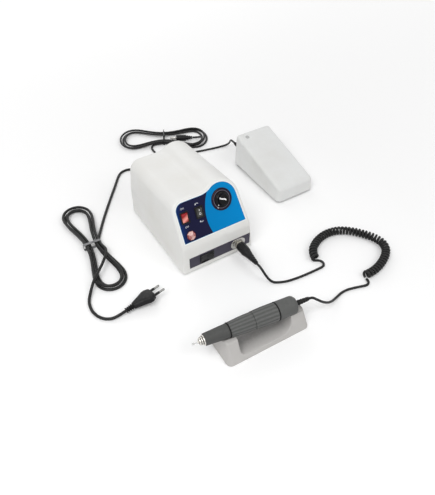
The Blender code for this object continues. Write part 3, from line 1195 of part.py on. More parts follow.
def make_pedal_lead(box):
    """Pedal to tied hank behind the box, and on to its unplugged plug."""
    first = lead_route(PEDAL_ROUTE_PEDAL, PEDAL_LEAD)
    tube("pedal_lead_pedal", first, PEDAL_LEAD, LEAD_SIDES, "lead_black", box)
    hank = hank_points(PEDAL_HANK_CENTRE, PEDAL_HANK_TURN, PEDAL_HANK_HALF, PEDAL_HANK_SPREAD,
                       PEDAL_WAIST_SHARE, PEDAL_FAN_SHARE, PEDAL_LEAD, 1, -math.pi / 2)
    tube("pedal_lead_hank", hank, PEDAL_LEAD, FORM_SIDES, "lead_black", box)
    waist = PEDAL_HANK_SPREAD * (1 - PEDAL_WAIST_SHARE)
    tie = tie_points(PEDAL_HANK_CENTRE, PEDAL_HANK_TURN, waist, PEDAL_LEAD)
    tube("pedal_lead_tie", tie, TIE_WIRE, FORM_SIDES, "rubber_black", box, cyclic=True)
    last = lead_route(PEDAL_ROUTE_PLUG, PEDAL_LEAD)
    tube("pedal_lead_plug_end", last, PEDAL_LEAD, LEAD_SIDES, "lead_black", box)
    report_gap("pedal_lead_hank", hank, PEDAL_LEAD)
    print("hank ends", np.round(hank[0] / MM, 1), np.round(hank[-1] / MM, 1))
    print(f"pedal lead stretches {length_of(first) / MM:.0f} and {length_of(last) / MM:.0f} mm")
    boot = ribbed(0, PEDAL_PLUG_BOOT, BOOT_END_RADIUS, PLUG_NECK_RADIUS, RELIEF_RIBS - 1,
                  RELIEF_RIB_DEPTH / 2)
    profile = [(0, PEDAL_PLUG_TIP_END), (PEDAL_PLUG_TIP_RADIUS, PEDAL_PLUG_TIP_END),
               (PEDAL_PLUG_TIP_RADIUS, PEDAL_PLUG_BODY_END), (PEDAL_PLUG_RADIUS, PEDAL_PLUG_BODY_END),
               (PEDAL_PLUG_RADIUS, PEDAL_PLUG_BOOT)] + boot[::-1] + [(BOOT_END_RADIUS, 0), (0, 0)]
    lying = (math.pi / 2, 0, PEDAL_PLUG_TURN + math.pi / 2)
    turned("pedal_plug", profile, "black_plastic", box, (*PEDAL_PLUG_REAR, PEDAL_PLUG_RADIUS), lying,
           sides=SMALL_SIDES)


def fluted_sleeve(name, rear, front, rear_radius, front_radius, bore, parent):
    """A tapering grip with lengthwise flutes and a plain bore."""
    rings = []
    for height, radius in ((front, front_radius), (rear, rear_radius)):
        ring = []
        for i in range(2 * FLUTES):
            angle = math.pi * i / FLUTES
            here = radius - (i % 2) * FLUTE_DEPTH
            ring.append((here * math.cos(angle), here * math.sin(angle), height))
        rings.append(ring)
    for height in (rear, front):
        rings.append([(bore * math.cos(math.pi * i / FLUTES), bore * math.sin(math.pi * i / FLUTES), height)
                      for i in range(2 * FLUTES)])
    return piece(name, loft(name, rings, ring_is_closed_tube=True), "grip_grey", parent)


def ring(name, outer, bore, start, end, finish_name, parent, sides=ROUND_SIDES):
    """A plain ring or tube along the handpiece."""
    profile = [(outer, end), (outer, start), (bore, start), (bore, end)]
    return turned(name, profile, finish_name, parent, sides=sides, closed=True)


def make_handpiece(axis):
    """The motor handpiece, built along z from its rear end to its bur."""
    cap_profile = [(REAR_CAP_NOSE_RADIUS, REAR_CAP_END), (REAR_CAP_RADIUS, REAR_CAP_ROUND)]
    cap_profile += [(r, z) for r, z in arc((REAR_CAP_RADIUS - REAR_CAP_ROUND, REAR_CAP_ROUND),
                                           REAR_CAP_ROUND, 0, -math.pi / 2, CORNER_STEPS)[1:]]
    cap_profile += [(CAP_RELIEF_BORE, 0), (CAP_RELIEF_BORE, CAP_FLOOR), (CAP_BORE, CAP_FLOOR),
                    (CAP_BORE, REAR_CAP_END)]
    turned("handpiece_rear_cap", cap_profile, "grip_grey", axis, closed=True)
    ring("handpiece_rear_ring", GRIP_REAR_RADIUS - RING_SINK, MOTOR_BORE, REAR_CAP_END + GAP,
         REAR_CAP_END + RING_WIDTH, "ring_black", axis)
    fluted_sleeve("handpiece_rear_grip", REAR_CAP_END + RING_WIDTH + GAP, GRIP_STEP, GRIP_REAR_RADIUS,
                  GRIP_STEP_RADIUS, MOTOR_BORE, axis)
    fluted_sleeve("handpiece_front_grip", GRIP_STEP + GAP, FRONT_RING, GRIP_STEP_FRONT_RADIUS,
                  GRIP_FRONT_RADIUS, MOTOR_BORE, axis)
    ring("handpiece_front_ring", GRIP_FRONT_RADIUS - RING_SINK, SPINDLE_RADIUS + 2 * GAP,
         FRONT_RING + GAP, FRONT_RING + RING_WIDTH, "ring_black", axis)
    start = FRONT_RING + RING_WIDTH + GAP
    ring("chuck_sleeve", SLEEVE_REAR_RADIUS, SLEEVE_BORE, start, SLEEVE_END, "grip_grey", axis)
    sleeve = bpy.data.objects["chuck_sleeve"].data
    sleeve.vertices[0].co.x = SLEEVE_FRONT_RADIUS
    turned("handpiece_nose",
           [(NOSE_FRONT_RADIUS, NOSE_END), (NOSE_RADIUS, NOSE_END - RING_WIDTH), (NOSE_RADIUS, start),
            (SPINDLE_RADIUS + GAP, start), (SPINDLE_RADIUS + GAP, NOSE_END)], "chrome", axis, closed=True)
    ring("motor_magnets", MAGNET_RADIUS, MAGNET_BORE, MAGNET_START, MAGNET_END, "magnet_grey", axis)
    ring("motor_armature", ARMATURE_RADIUS, SHAFT_RADIUS + GAP, ARMATURE_START, ARMATURE_END, "copper",
         axis, SMALL_SIDES)
    turned("motor_spindle",
           [(SPINDLE_BORE, SPINDLE_END), (SPINDLE_RADIUS, SPINDLE_END), (SPINDLE_RADIUS, SPINDLE_START),
            (SHAFT_RADIUS, SPINDLE_START), (SHAFT_RADIUS, SHAFT_START), (0, SHAFT_START)], "steel", axis,
           sides=SMALL_SIDES)
    spindle = bpy.data.objects["motor_spindle"]
    extend_profile(spindle, [(SPINDLE_BORE, SPINDLE_BORE_START), (0, SPINDLE_BORE_START)])
    ring("collet", COLLET_RADIUS, COLLET_BORE, COLLET_START, COLLET_END, "chrome", axis, SMALL_SIDES)
    turned("bur",
           [(0, BUR_END), (BUR_HEAD_RADIUS, BUR_END - BUR_HEAD_RADIUS), (BUR_HEAD_RADIUS, BUR_HEAD_START),
            (BUR_SHANK_RADIUS, BUR_HEAD_START), (BUR_SHANK_RADIUS, BUR_START), (0, BUR_START)],
           "steel", axis, sides=SMALL_SIDES)
    ring("front_bearing", FRONT_BEARING_RADIUS, SPINDLE_RADIUS + GAP, FRONT_BEARING_START,
         FRONT_BEARING_START + BEARING_LENGTH, "steel", axis, SMALL_SIDES)
    ring("rear_bearing", REAR_BEARING_RADIUS, SHAFT_RADIUS + GAP, REAR_BEARING_START,
         REAR_BEARING_START + BEARING_LENGTH, "steel", axis, SMALL_SIDES)
    brush_length = CAP_BORE - GAP - SHAFT_RADIUS - 2 * GAP
    for name, side in (("brush_upper", 1), ("brush_lower", -1)):
        centre = (side * (SHAFT_RADIUS + GAP + brush_length / 2), 0, BRUSH_START + BRUSH_LENGTH / 2)
        piece(name, block(name, (brush_length, BRUSH_WIDTH, BRUSH_LENGTH), centre), "carbon", axis)
    neck = CAP_RELIEF_BORE - GAP
    boot = ribbed(-HANDPIECE_BOOT, -GAP, HANDPIECE_BOOT_END, HANDPIECE_BOOT_RADIUS, RELIEF_RIBS,
                  RELIEF_RIB_DEPTH / 2)
    profile = [(0, HANDPIECE_BOOT_IN), (neck, HANDPIECE_BOOT_IN), (neck, -GAP)]
    profile += boot[::-1] + [(HANDPIECE_BOOT_END, -HANDPIECE_BOOT), (0, -HANDPIECE_BOOT)]
    turned("handpiece_boot", profile, "rubber_black", axis, sides=SMALL_SIDES)


def extend_profile(made, extra):
    """Close a hollow front on a turned piece: the extra points lead from its first point inward."""
    mesh = made.data
    old = [tuple(vertex.co) for vertex in mesh.vertices]
    points = [(radius, 0, height) for radius, height in reversed(extra)] + old
    mesh.clear_geometry()
    mesh.from_pydata(points, [(i, i + 1) for i in range(len(points) - 1)], [])


def make_rest(rest, axis):
    """The handpiece rest: two saddles joined by a dished floor."""
    def ring_at(length, width, radius, height):
        return [(x, y, height) for x, y in rounded_rectangle(length, width, radius)]
    shoulder = REST_HEIGHT - REST_TOP_ROUND
    rings = [ring_at(REST_LENGTH, REST_WIDTH, REST_PLAN_RADIUS, 0),
             ring_at(REST_LENGTH, REST_WIDTH, REST_PLAN_RADIUS, REST_LIP),
             ring_at(REST_TOP_LENGTH, REST_TOP_WIDTH, REST_TOP_RADIUS, shoulder),
             ring_at(REST_TOP_LENGTH - 2 * REST_TOP_ROUND, REST_TOP_WIDTH - 2 * REST_TOP_ROUND,
                     REST_TOP_RADIUS - REST_TOP_ROUND, REST_HEIGHT)]
    made = piece("handpiece_rest", loft("handpiece_rest", rings), "rest_grey", rest)
    top = REST_HEIGHT + OVERRUN
    front = arc((SCOOP_FRONT + SCOOP_FRONT_RADIUS, SCOOP_FLOOR + SCOOP_FRONT_RADIUS),
                SCOOP_FRONT_RADIUS, math.pi, 1.5 * math.pi, CORNER_STEPS + 1)
    rear = arc((SCOOP_REAR - SCOOP_REAR_RADIUS, SCOOP_FLOOR + SCOOP_REAR_RADIUS), SCOOP_REAR_RADIUS,
               -math.pi / 2, 0, CORNER_STEPS + 1)
    outline = [(SCOOP_FRONT, top)] + front + rear + [(SCOOP_REAR, top)]
    half = REST_WIDTH / 2 + OVERRUN
    scoop = loft("scoop", [[(x, side * half, z) for x, z in outline] for side in (1, -1)])
    combine(made, cutter("scoop", scoop, rest))
    under = [ring_at(REST_LENGTH - 2 * REST_WALL, REST_WIDTH - 2 * REST_WALL,
                     REST_PLAN_RADIUS - REST_WALL, z) for z in (-OVERRUN, REST_UNDERCUT)]
    combine(made, cutter("undercut", loft("undercut", under), rest))
    channel = turned("channel",
                     [(0, SLEEVE_END + 2 * OVERRUN), (SLEEVE_REAR_RADIUS, SLEEVE_END + 2 * OVERRUN),
                      (GRIP_FRONT_RADIUS + GAP, FRONT_RING), (REAR_CAP_NOSE_RADIUS + GAP, REAR_CAP_END),
                      (REAR_CAP_NOSE_RADIUS + GAP, -3 * OVERRUN), (0, -3 * OVERRUN)],
                     "steel", axis, is_cutter=True)
    combine(made, channel)


def centre_on_origin(root):
    """Move the set so that the box round its rigid units is centred over the origin."""
    bpy.context.view_layer.update()
    corners = []
    on_leads = ("_lead_", "mains_plug", "mains_pin", "pedal_plug", "motor_plug")
    graph = bpy.context.evaluated_depsgraph_get()
    for made in PARTS.objects:
        if made.type == "EMPTY" or any(word in made.name for word in on_leads):
            continue
        seen = made.evaluated_get(graph)
        mesh = seen.to_mesh()
        places = [made.matrix_world @ vertex.co for vertex in mesh.vertices]
        for pick in (min, max):
            corners.append((pick(place.x for place in places), pick(place.y for place in places)))
        seen.to_mesh_clear()
    xs, ys = zip(*corners)
    middle = Vector(((min(xs) + max(xs)) / 2, (min(ys) + max(ys)) / 2))
    root.location = (-middle.x, -middle.y, 0)
    bpy.context.view_layer.update()
    print("origin lies at", [round(value / MM, 2) for value in middle], "mm from the box's corner")


def report_axes(names):
    """Print where each moving piece turns, in the set's own axes."""
    for name in names:
        made = bpy.data.objects[name]
        place = made.matrix_world.translation
        print(name, [round(value, 5) for value in place],
              [[round(made.matrix_world[r][c], 5) for r in range(3)] for c in range(3)])


def main():
    root = frame("set")
    box = frame("control_box", parent=root)
    upright = math.pi / 2
    panel = frame("panel_face", (0, 0, NOSE_HEIGHT), (upright - PANEL_TILT, 0, 0), box)
    front = frame("front_face", (0, 0, 0), (upright, 0, 0), box)
    rear = frame("rear_face", (CASE_WIDTH, CASE_DEPTH, 0), (upright, 0, math.pi), box)
    make_case(box, panel, front, rear)
    make_panels(panel, front)
    make_speed_control(panel)
    make_front_controls(panel, front)
    make_motor_plug(front)
    make_rear_ports(rear)
    make_inside(box)
    pedal = frame("pedal", (*PEDAL_CORNER, 0), parent=root)
    make_pedal(pedal)
    axis = frame("handpiece", HANDPIECE_REAR, parent=root)
    ahead = Vector((-math.cos(HANDPIECE_TURN), -math.sin(HANDPIECE_TURN), 0))
    up = Vector((0, 0, 1))
    axis.rotation_mode = "QUATERNION"
    axis.rotation_quaternion = Matrix((up, ahead.cross(up), ahead)).transposed().to_quaternion()
    make_handpiece(axis)
    rest = frame("rest", (*REST_CENTRE, 0), (0, 0, REST_TURN), root)
    make_rest(rest, axis)
    make_motor_lead(root)
    make_mains_lead(root)
    make_mains_plug(root)
    make_pedal_lead(root)
    centre_on_origin(root)
    report_axes(("speed_knob", "power_rocker", "direction_rocker", "selector_rocker", "pedal_pivot_pin",
                 "motor_spindle", "pedal_plug", "mains_plug"))


main()
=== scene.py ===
"""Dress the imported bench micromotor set: control box, foot pedal, handpiece on its rest, and leads.

Sizes are in metres. Names that end in _MM, and what is given to metres, turned, drill, block, relief
and shifted, are in millimetres. Each operator builds one piece, or one group of like pieces, in the
frame of the CAD body that carries it.
"""

import math

import bmesh
import bpy
import numpy as np
from bpy.props import FloatProperty, FloatVectorProperty, IntProperty, PointerProperty
from mathutils import Matrix, Vector


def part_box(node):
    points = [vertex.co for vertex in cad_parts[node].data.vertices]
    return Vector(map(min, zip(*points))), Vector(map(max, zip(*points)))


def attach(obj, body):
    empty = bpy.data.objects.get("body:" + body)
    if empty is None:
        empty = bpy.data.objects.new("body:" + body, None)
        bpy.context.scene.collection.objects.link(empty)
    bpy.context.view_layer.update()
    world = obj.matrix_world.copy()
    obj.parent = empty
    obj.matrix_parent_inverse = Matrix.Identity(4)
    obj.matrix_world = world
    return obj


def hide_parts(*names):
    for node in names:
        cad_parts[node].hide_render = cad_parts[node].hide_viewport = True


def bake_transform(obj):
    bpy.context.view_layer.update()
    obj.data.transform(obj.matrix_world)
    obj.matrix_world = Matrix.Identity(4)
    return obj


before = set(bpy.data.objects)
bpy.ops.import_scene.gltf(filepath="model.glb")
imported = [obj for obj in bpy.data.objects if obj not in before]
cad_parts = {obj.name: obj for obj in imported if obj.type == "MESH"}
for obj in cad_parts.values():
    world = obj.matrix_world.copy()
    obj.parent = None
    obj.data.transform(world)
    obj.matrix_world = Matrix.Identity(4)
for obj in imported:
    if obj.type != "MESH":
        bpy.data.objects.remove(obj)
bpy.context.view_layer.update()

bl_info = {
    "name": "Bench Micromotor Set",
    "version": (1, 0, 0),
    "blender": (4, 5, 0),
    "location": "View3D > Sidebar > Micromotor",
    "description": "Dresses the CAD frame of a bench micromotor set with finished pieces",
    "category": "Object",
}

MM = 0.001
GAP = 0.3 * MM
QUARTER = math.pi / 2

# Control box section
CASE_WIDTH, CASE_DEPTH, CASE_WALL = 140 * MM, 206 * MM, 3 * MM
CASE_BOTTOM, NOSE, TILT = 2.8 * MM, 57 * MM, math.radians(28)
LEFT_LEAN, SHOULDER_RISE, SHOULDER_RADIUS = 2.5 * MM, 84.5 * MM, 20 * MM
KNOB_MM, STRIP_MM = (92, 59.5), (73, 23)
HUMP = (KNOB_MM[0] * MM, NOSE + KNOB_MM[1] * MM)
HUMP_RADIUS, HUMP_END, BLEND_RADIUS = 35 * MM, math.radians(6), 30 * MM
REAR_HEIGHT, REAR_ROUND = 123 * MM, 9 * MM
REAR_SHIFT, REAR_FALL = 4 * MM, 1.6
PANEL_MARGIN, PANEL_FOOT = 6 * MM, 10.3 * MM

# Foot pedal: width, length, the height of its top in front, what that gains by the back, and its dimple
PEDAL_WIDTH_MM, PEDAL_LENGTH_MM, PEDAL_FRONT_MM, PEDAL_RISE_MM = 86, 159, 31, 42
DIMPLE_MM = (22, 143)


# Frames of the CAD model, from the case's lowest left front corner

def shifted(place, x, y=0, z=0):
    """A frame moved along its own axes."""
    return place @ Matrix.Translation((x * MM, y * MM, z * MM))


def spun(place, degrees, axis):
    """A frame turned about one of its own axes."""
    return place @ Matrix.Rotation(math.radians(degrees), 4, axis)


CASE_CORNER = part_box("case_shell")[0]
BOX = Matrix.Translation((CASE_CORNER.x, CASE_CORNER.y, 0))
PANEL = BOX @ Matrix.Translation((0, 0, NOSE)) @ Matrix.Rotation(QUARTER - TILT, 4, "X")
FRONT = spun(BOX, 90, "X")
REAR = spun(spun(BOX @ Matrix.Translation((CASE_WIDTH, CASE_DEPTH, 0)), 180, "Z"), 90, "X")
KNOB, LAMP = shifted(PANEL, *KNOB_MM), shifted(PANEL, 22.9, 21.6)
POWER, DIRECTION = shifted(PANEL, 20.9, 53), shifted(PANEL, 47.7, 53)
SELECTOR, SOCKET = shifted(FRONT, 46, 23), shifted(FRONT, 108.3, 23.4)
GLAND, JACK = shifted(REAR, 78, 35), shifted(REAR, 38, 35)
PEDAL = shifted(BOX, 247, 66)
DIMPLE = spun(shifted(PEDAL, *DIMPLE_MM, PEDAL_FRONT_MM + DIMPLE_MM[1] * PEDAL_RISE_MM / PEDAL_LENGTH_MM),
              math.degrees(math.atan2(PEDAL_RISE_MM, PEDAL_LENGTH_MM)), "X")
REST = spun(shifted(BOX, 42, -164), -1.5, "Z")
AHEAD = Vector((-math.cos(math.radians(-6.5)), -math.sin(math.radians(-6.5)), 0))
UP = Vector((0, 0, 1))
HANDPIECE = shifted(BOX, 97.9, -170.8, 43) @ Matrix((UP, AHEAD.cross(UP), AHEAD)).transposed().to_4x4()
MAINS_PLUG = spun(spun(spun(shifted(BOX, -115.5, -21, 7.4), 7.6, "Z"), -5, "Y"), -24, "X")
PEDAL_PLUG = spun(spun(shifted(BOX, 218, 351.85, 6.5), 242.5, "Z"), 90, "X")

# Leads: diameters, routes on and above the table, and the wound parts
MOTOR_LEAD, MAINS_LEAD, PEDAL_LEAD = 4.2 * MM, 5 * MM, 4.2 * MM
MOTOR_FRONT_MM = [
    (108.3, -58.5, 23.4), (108.4, -69, 23), (110.2, -78.5, 16.5), (113.8, -86, 8), (119, -92, 3.2),
    (128, -97.5, 2.15), (143, -103, 2.15), (166, -106.5, 2.15), (188, -108, 2.15), (203, -108.5, 2.15),
    (211.2, -108.5, 2.15), (215.4, -107.4, 2.15), (218.5, -104.3, 2.15), (219.6, -100.1, 2.15),
    (218.5, -95.9, 2.15), (216, -93.2, 2.15), (214.85, -92.4, 2.15)]
CURLY_MM = [
    (211, -90), (215, -80), (222, -70.5), (234, -62), (250, -55.5), (271, -53), (292, -58), (310, -71),
    (324, -88), (334, -106), (337, -123), (331, -138), (316, -150.5), (295, -160), (275, -164.5),
    (258, -164.5)]
MOTOR_REAR_MM = [
    (257.15, -168.95, 2.15), (256.7, -171.5, 2.15), (255.2, -175.5, 2.15), (252.5, -178, 2.15),
    (249, -179.1, 2.15), (245.9, -178.8, 2.15), (236.5, -176, 2.15), (226, -172.8, 2.15),
    (214, -169.9, 2.15), (201, -169.8, 2.3), (190, -172.5, 3.6), (178, -176.5, 7.2),
    (165, -180.5, 13.6), (154, -182, 21), (144, -181, 29), (136, -178, 36), (129, -174.8, 41.4),
    (122.8, -173.65, 42.95)]
MAINS_BOX_MM = [
    (62, 234.6, 35), (62, 244, 34.7), (62.2, 254, 30.6), (62.4, 264, 22), (62.5, 274, 13.4),
    (62.5, 285, 6.6), (62.2, 297, 3.2), (59.2, 310.5, 2.55), (51, 319.6, 2.55), (39.5, 323, 2.55),
    (28, 320, 2.55), (18.5, 311.5, 2.55), (0, 286.5, 2.55), (-20, 259.5, 2.55), (-40, 232, 2.55),
    (-57, 208, 2.55), (-69, 190, 2.6), (-77.5, 176.5, 3.2), (-83.5, 166.5, 3.9), (-88.6, 158, 4.25),
    (-91.3, 151.8, 4.4), (-92.05, 146.4, 4.4)]
MAINS_PLUG_MM = [
    (-92.15, 144.85, 10), (-91.9, 136, 10.6), (-91, 127, 12.3), (-90.6, 118, 14.2), (-93.2, 109, 15.1),
    (-98.6, 100, 15), (-105.4, 91.5, 14.6), (-113, 83, 14.3), (-121, 74.5, 14.3), (-129.5, 66, 14),
    (-138, 57.5, 11.8), (-145.5, 49.5, 7.4), (-152, 41, 3.9), (-157, 32, 2.6), (-160, 20, 2.55),
    (-160, 6.5, 2.55), (-156, -5.5, 2.55), (-148.5, -15, 2.55), (-138.5, -20.7, 3.6), (-128, -22.3, 6),
    (-116, -21.07, 7.35)]
PEDAL_FIRST_MM = [
    (258, 237.5, 41), (258.5, 246, 40.6), (261, 256, 37), (265, 265.5, 30), (269, 274, 20.5),
    (270.5, 281.5, 11.5), (268, 288, 5), (260.5, 291.8, 2.5), (249, 293.5, 2.15), (230, 297, 2.15),
    (208.8, 301.6, 2.15), (186, 308, 2.15), (166, 314, 2.15), (146, 320, 2.15), (130, 330, 2.15),
    (123, 343, 2.15), (122, 354, 2.15), (122.6, 364, 2.3), (126.5, 371.8, 2.8), (134, 374.9, 3.4),
    (143.2, 372.2, 3.95), (153.6, 368.75, 4)]
PEDAL_LAST_MM = [
    (155.15, 367.95, 8.8), (163.5, 361.5, 8.8), (173.6, 353.6, 8.6), (181.5, 345.1, 8.2),
    (188.5, 335.6, 7.9), (196, 326, 9.3), (203.5, 321, 12), (212, 319.5, 12.3), (221, 321.5, 12.3),
    (228, 326.5, 12.3), (232.3, 333.3, 11.8), (232.8, 340.5, 9), (228, 346.5, 6.7), (218.45, 351.6, 6.5)]
CURL_RADIUS, CURL_PITCH, CURL_POINTS = 5.6 * MM, 5.95 * MM, 16
LOOP_COUNT, LOOP_POINTS, LOOP_CLEARANCE = 3, 64, 0.6 * MM
BLUNT_SHARE, TIE_LIFT = 0.2, 1.9 * MM
MAINS_HANK = {"centre": (-105 * MM, 146 * MM), "turn": math.radians(-92), "half": 102 * MM,
              "spread": 30 * MM, "waist_share": 0.85, "fan_share": 0.5, "direction": -1, "start": QUARTER}
PEDAL_HANK = {"centre": (163 * MM, 385 * MM), "turn": math.radians(-27.5), "half": 84 * MM,
              "spread": 46 * MM, "waist_share": 0.75, "fan_share": 1.2, "direction": 1, "start": -QUARTER}

# Camera and floor, fitted to the photograph
CAMERA_PLACE, CAMERA_AIM = BOX @ Vector((-0.2485, -0.5076, 0.6366)), Vector((0.371, 0.597, -0.712))
SENSOR_WIDTH_MM, LENS_MM, LENS_SHIFT = 36, 36.36, 0.002
FLOOR_REACH, FLOOR_DROP = 4.0, 0.05 * MM

FINISHES = {}
ROUGHNESS_DRIFT = 0.06
ROCKER_LEAN, ROCKER_TILT, ROCKER_CURVE = math.radians(18), 10, 1.25
ROCKER_DIP_MM, ROCKER_PLAY_MM, BEZEL_LIP_MM = 0.9, 0.35, 1.3


# Shapes

def clamped(value):
    """A value held between 0 and 1."""
    return min(max(value, 0), 1)


def between(value, low, high, rise, fall):
    """1 between two heights and 0 beyond them, by a rise after the first and a fall before the second."""
    return clamped((value - low) / rise) * clamped((high - value) / fall)


def metres(points):
    """Points or profiles from millimetres to metres."""
    return [tuple(value * MM for value in point) for point in points]


def arc(centre, radius, start, end, steps):
    """Points of an arc, both ends included."""
    angles = [start + (end - start) * i / steps for i in range(steps + 1)]
    return [(centre[0] + radius * math.cos(a), centre[1] + radius * math.sin(a)) for a in angles]


def rounded_rectangle(width, depth, radius, steps=6):
    """A rectangle about the origin with round corners, counter-clockwise."""
    x, y = width / 2 - radius, depth / 2 - radius
    points = []
    for k, (side, end) in enumerate(((1, 1), (-1, 1), (-1, -1), (1, -1))):
        points += arc((side * x, end * y), radius, k * QUARTER, (k + 1) * QUARTER, steps)
    return points


def softened(points, radius, steps=3):
    """An open line with its corners rounded off to about a radius."""
    made = [points[0]]
    for before, here, after in zip(points, points[1:], points[2:]):
        a, b, c = Vector(before), Vector(here), Vector(after)
        reach = min(radius, 0.45 * (a - b).length, 0.45 * (c - b).length)
        start, end = b + (a - b).normalized() * reach, b + (c - b).normalized() * reach
        for i in range(steps + 1):
            t = i / steps
            made.append(tuple(start * (1 - t) ** 2 + b * 2 * t * (1 - t) + end * t * t))
    return made + [points[-1]]


def mesh_from(name, vertices, faces, slots=None):
    """A mesh with its faces pointing out; slots gives each face's finish number."""
    mesh = bpy.data.meshes.new(name)
    mesh.from_pydata([tuple(v) for v in vertices], [], faces)
    if slots:
        mesh.polygons.foreach_set("material_index", slots)
    work = bmesh.new()
    work.from_mesh(mesh)
    bmesh.ops.recalc_face_normals(work, faces=work.faces)
    work.to_mesh(mesh)
    work.free()
    return mesh


def loft(name, rings, bands=None, caps=(True, True)):
    """Closed rings of equal count joined in order; bands gives each band's finish."""
    count = len(rings[0])
    faces, slots = [], []
    for k in range(len(rings) - 1):
        for i in range(count):
            j = (i + 1) % count
            faces.append((k * count + i, k * count + j, (k + 1) * count + j, (k + 1) * count + i))
            slots.append(bands[k] if bands else 0)
    last = (len(rings) - 1) * count
    if caps[0]:
        faces.append(tuple(range(count))[::-1])
        slots.append(bands[0] if bands else 0)
    if caps[1]:
        faces.append(tuple(range(last, last + count)))
        slots.append(bands[-1] if bands else 0)
    return mesh_from(name, [p for ring in rings for p in ring], faces, slots)


def lathe(name, profile, sides=64, ribs=None, closed=False):
    """Radius and height points turned about z; ribs(angle, height, radius) may change a radius."""
    vertices, rows, faces = [], [], []
    for radius, height in profile:
        if radius < 1e-7:
            vertices.append((0, 0, height))
            rows.append([len(vertices) - 1] * sides)
            continue
        row = []
        for i in range(sides):
            angle = 2 * math.pi * i / sides
            here = ribs(angle, height, radius) if ribs else radius
            vertices.append((here * math.cos(angle), here * math.sin(angle), height))
            row.append(len(vertices) - 1)
        rows.append(row)
    pairs = list(zip(rows, rows[1:]))
    if closed:
        pairs.append((rows[-1], rows[0]))
    for low, high in pairs:
        for i in range(sides):
            j = (i + 1) % sides
            face = []
            for corner in (low[i], low[j], high[j], high[i]):
                if corner not in face:
                    face.append(corner)
            if len(face) > 2:
                faces.append(tuple(face))
    return mesh_from(name, vertices, faces)


def turned(name, points, sides=64, soft=0, ribs=None, closed=False):
    """A lathe of a profile in millimetres, whose corners may be softened first."""
    profile = metres(points)
    return lathe(name, softened(profile, soft * MM) if soft else profile, sides, ribs, closed)


def drill(radius, low, high, sides=48):
    """A round cutter about z, in millimetres."""
    return turned("bore", [(0, low), (radius, low), (radius, high), (0, high)], sides)


def relief(count, start, step, radius, change, depth, share=(0.4, 2.4, 2.8, 4.1)):
    """A strain relief's ribs: each keeps its radius, then dips; share is the heights in one step."""
    points = []
    for i in range(count):
        low, outer = start + i * step, radius + i * change
        points += [(outer, low + share[0]), (outer, low + share[1]), (outer - depth, low + share[2]),
                   (outer - depth, low + share[3])]
    return points


def plate(name, outline, low, high, round_off=0.3 * MM):
    """A flat plate whose outline(inset) can shrink, with a rounded upper edge."""
    rings = [[(x, y, low) for x, y in outline(0)]]
    for i in range(4):
        angle = QUARTER * i / 3
        inset, drop = round_off * (1 - math.cos(angle)), round_off * (1 - math.sin(angle))
        rings.append([(x, y, high - drop) for x, y in outline(inset)])
    return loft(name, rings)


def frames_along(points):
    """A side and a top direction at each point of a line, turning as little as they can."""
    path = np.array(points, float)
    ahead = np.gradient(path, axis=0)
    ahead /= np.linalg.norm(ahead, axis=1)[:, None]
    first = np.cross(ahead[0], [0, 0, 1])
    if np.linalg.norm(first) < 1e-3:
        first = np.cross(ahead[0], [0, 1, 0])
    side, sides = first / np.linalg.norm(first), []
    for direction in ahead:
        side = side - direction * side.dot(direction)
        side /= np.linalg.norm(side)
        sides.append(side)
    return path, np.array(sides), np.cross(sides, ahead)


def tube(name, points, radius, sides=16):
    """A round cord or wire along its points."""
    angles = [2 * math.pi * i / sides for i in range(sides)]
    rings = []
    for place, across, upward in zip(*frames_along(points)):
        rings.append([place + radius * (math.cos(t) * across + math.sin(t) * upward) for t in angles])
    return loft(name, rings)


def looped(name, rings):
    """Closed rings joined in order, and the last one to the first."""
    mesh = loft(name, [*rings, rings[0]], caps=(False, False))
    work = bmesh.new()
    work.from_mesh(mesh)
    bmesh.ops.remove_doubles(work, verts=work.verts, dist=1e-6)
    bmesh.ops.recalc_face_normals(work, faces=work.faces)
    work.to_mesh(mesh)
    work.free()
    return mesh


def block(name, size, centre=(0, 0, 0)):
    """A plain box mesh in millimetres, for cutters and as the start of bevelled pieces."""
    corners = ((-1, -1), (1, -1), (1, 1), (-1, 1))
    return loft(name, [metres([(centre[0] + x * size[0] / 2, centre[1] + y * size[1] / 2,
                                centre[2] + side * size[2] / 2) for x, y in corners]) for side in (-1, 1)])


# Putting pieces in place

def settle(made, angle=35):
    """Apply a piece's modifiers and shade it smooth up to an angle."""
    if made.modifiers:
        graph = bpy.context.evaluated_depsgraph_get()
        mesh = bpy.data.meshes.new_from_object(made.evaluated_get(graph))
        old = made.data
        made.modifiers.clear()
        made.data = mesh
        bpy.data.meshes.remove(old)
    made.data.shade_smooth()
    made.data.set_sharp_from_angle(angle=math.radians(angle))


def placed(name, data, place=None):
    """A new object of the scene, in a frame if one is given."""
    made = bpy.data.objects.new(name, data)
    bpy.context.scene.collection.objects.link(made)
    if place is not None:
        made.matrix_world = place
    return made


def piece(name, mesh, place, body, finishes, nodes=(), angle=35, bevel=0, cuts=()):
    """Put a mesh in its frame, cut and bevel it, give it its finishes and let it ride on a body."""
    made = placed(name, mesh, place)
    for title in [finishes] if isinstance(finishes, str) else finishes:
        mesh.materials.append(FINISHES[title])
    cutters = [placed("cutter", cut, place) for cut in cuts]
    for cutter in cutters:
        away = made.modifiers.new("cut", "BOOLEAN")
        away.operation, away.solver, away.object = "DIFFERENCE", "EXACT", cutter
    if bevel:
        rounding = made.modifiers.new("round", "BEVEL")
        rounding.width, rounding.segments, rounding.limit_method = bevel, 3, "ANGLE"
        rounding.angle_limit = math.radians(40)
    bpy.context.view_layer.update()
    settle(made, angle)
    for cutter in cutters:
        bpy.data.objects.remove(cutter, do_unlink=True)
    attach(made, body)
    if nodes:
        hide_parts(*nodes)
    return made


def moved(mesh, matrix):
    """A mesh moved within its piece."""
    mesh.transform(matrix)
    return mesh


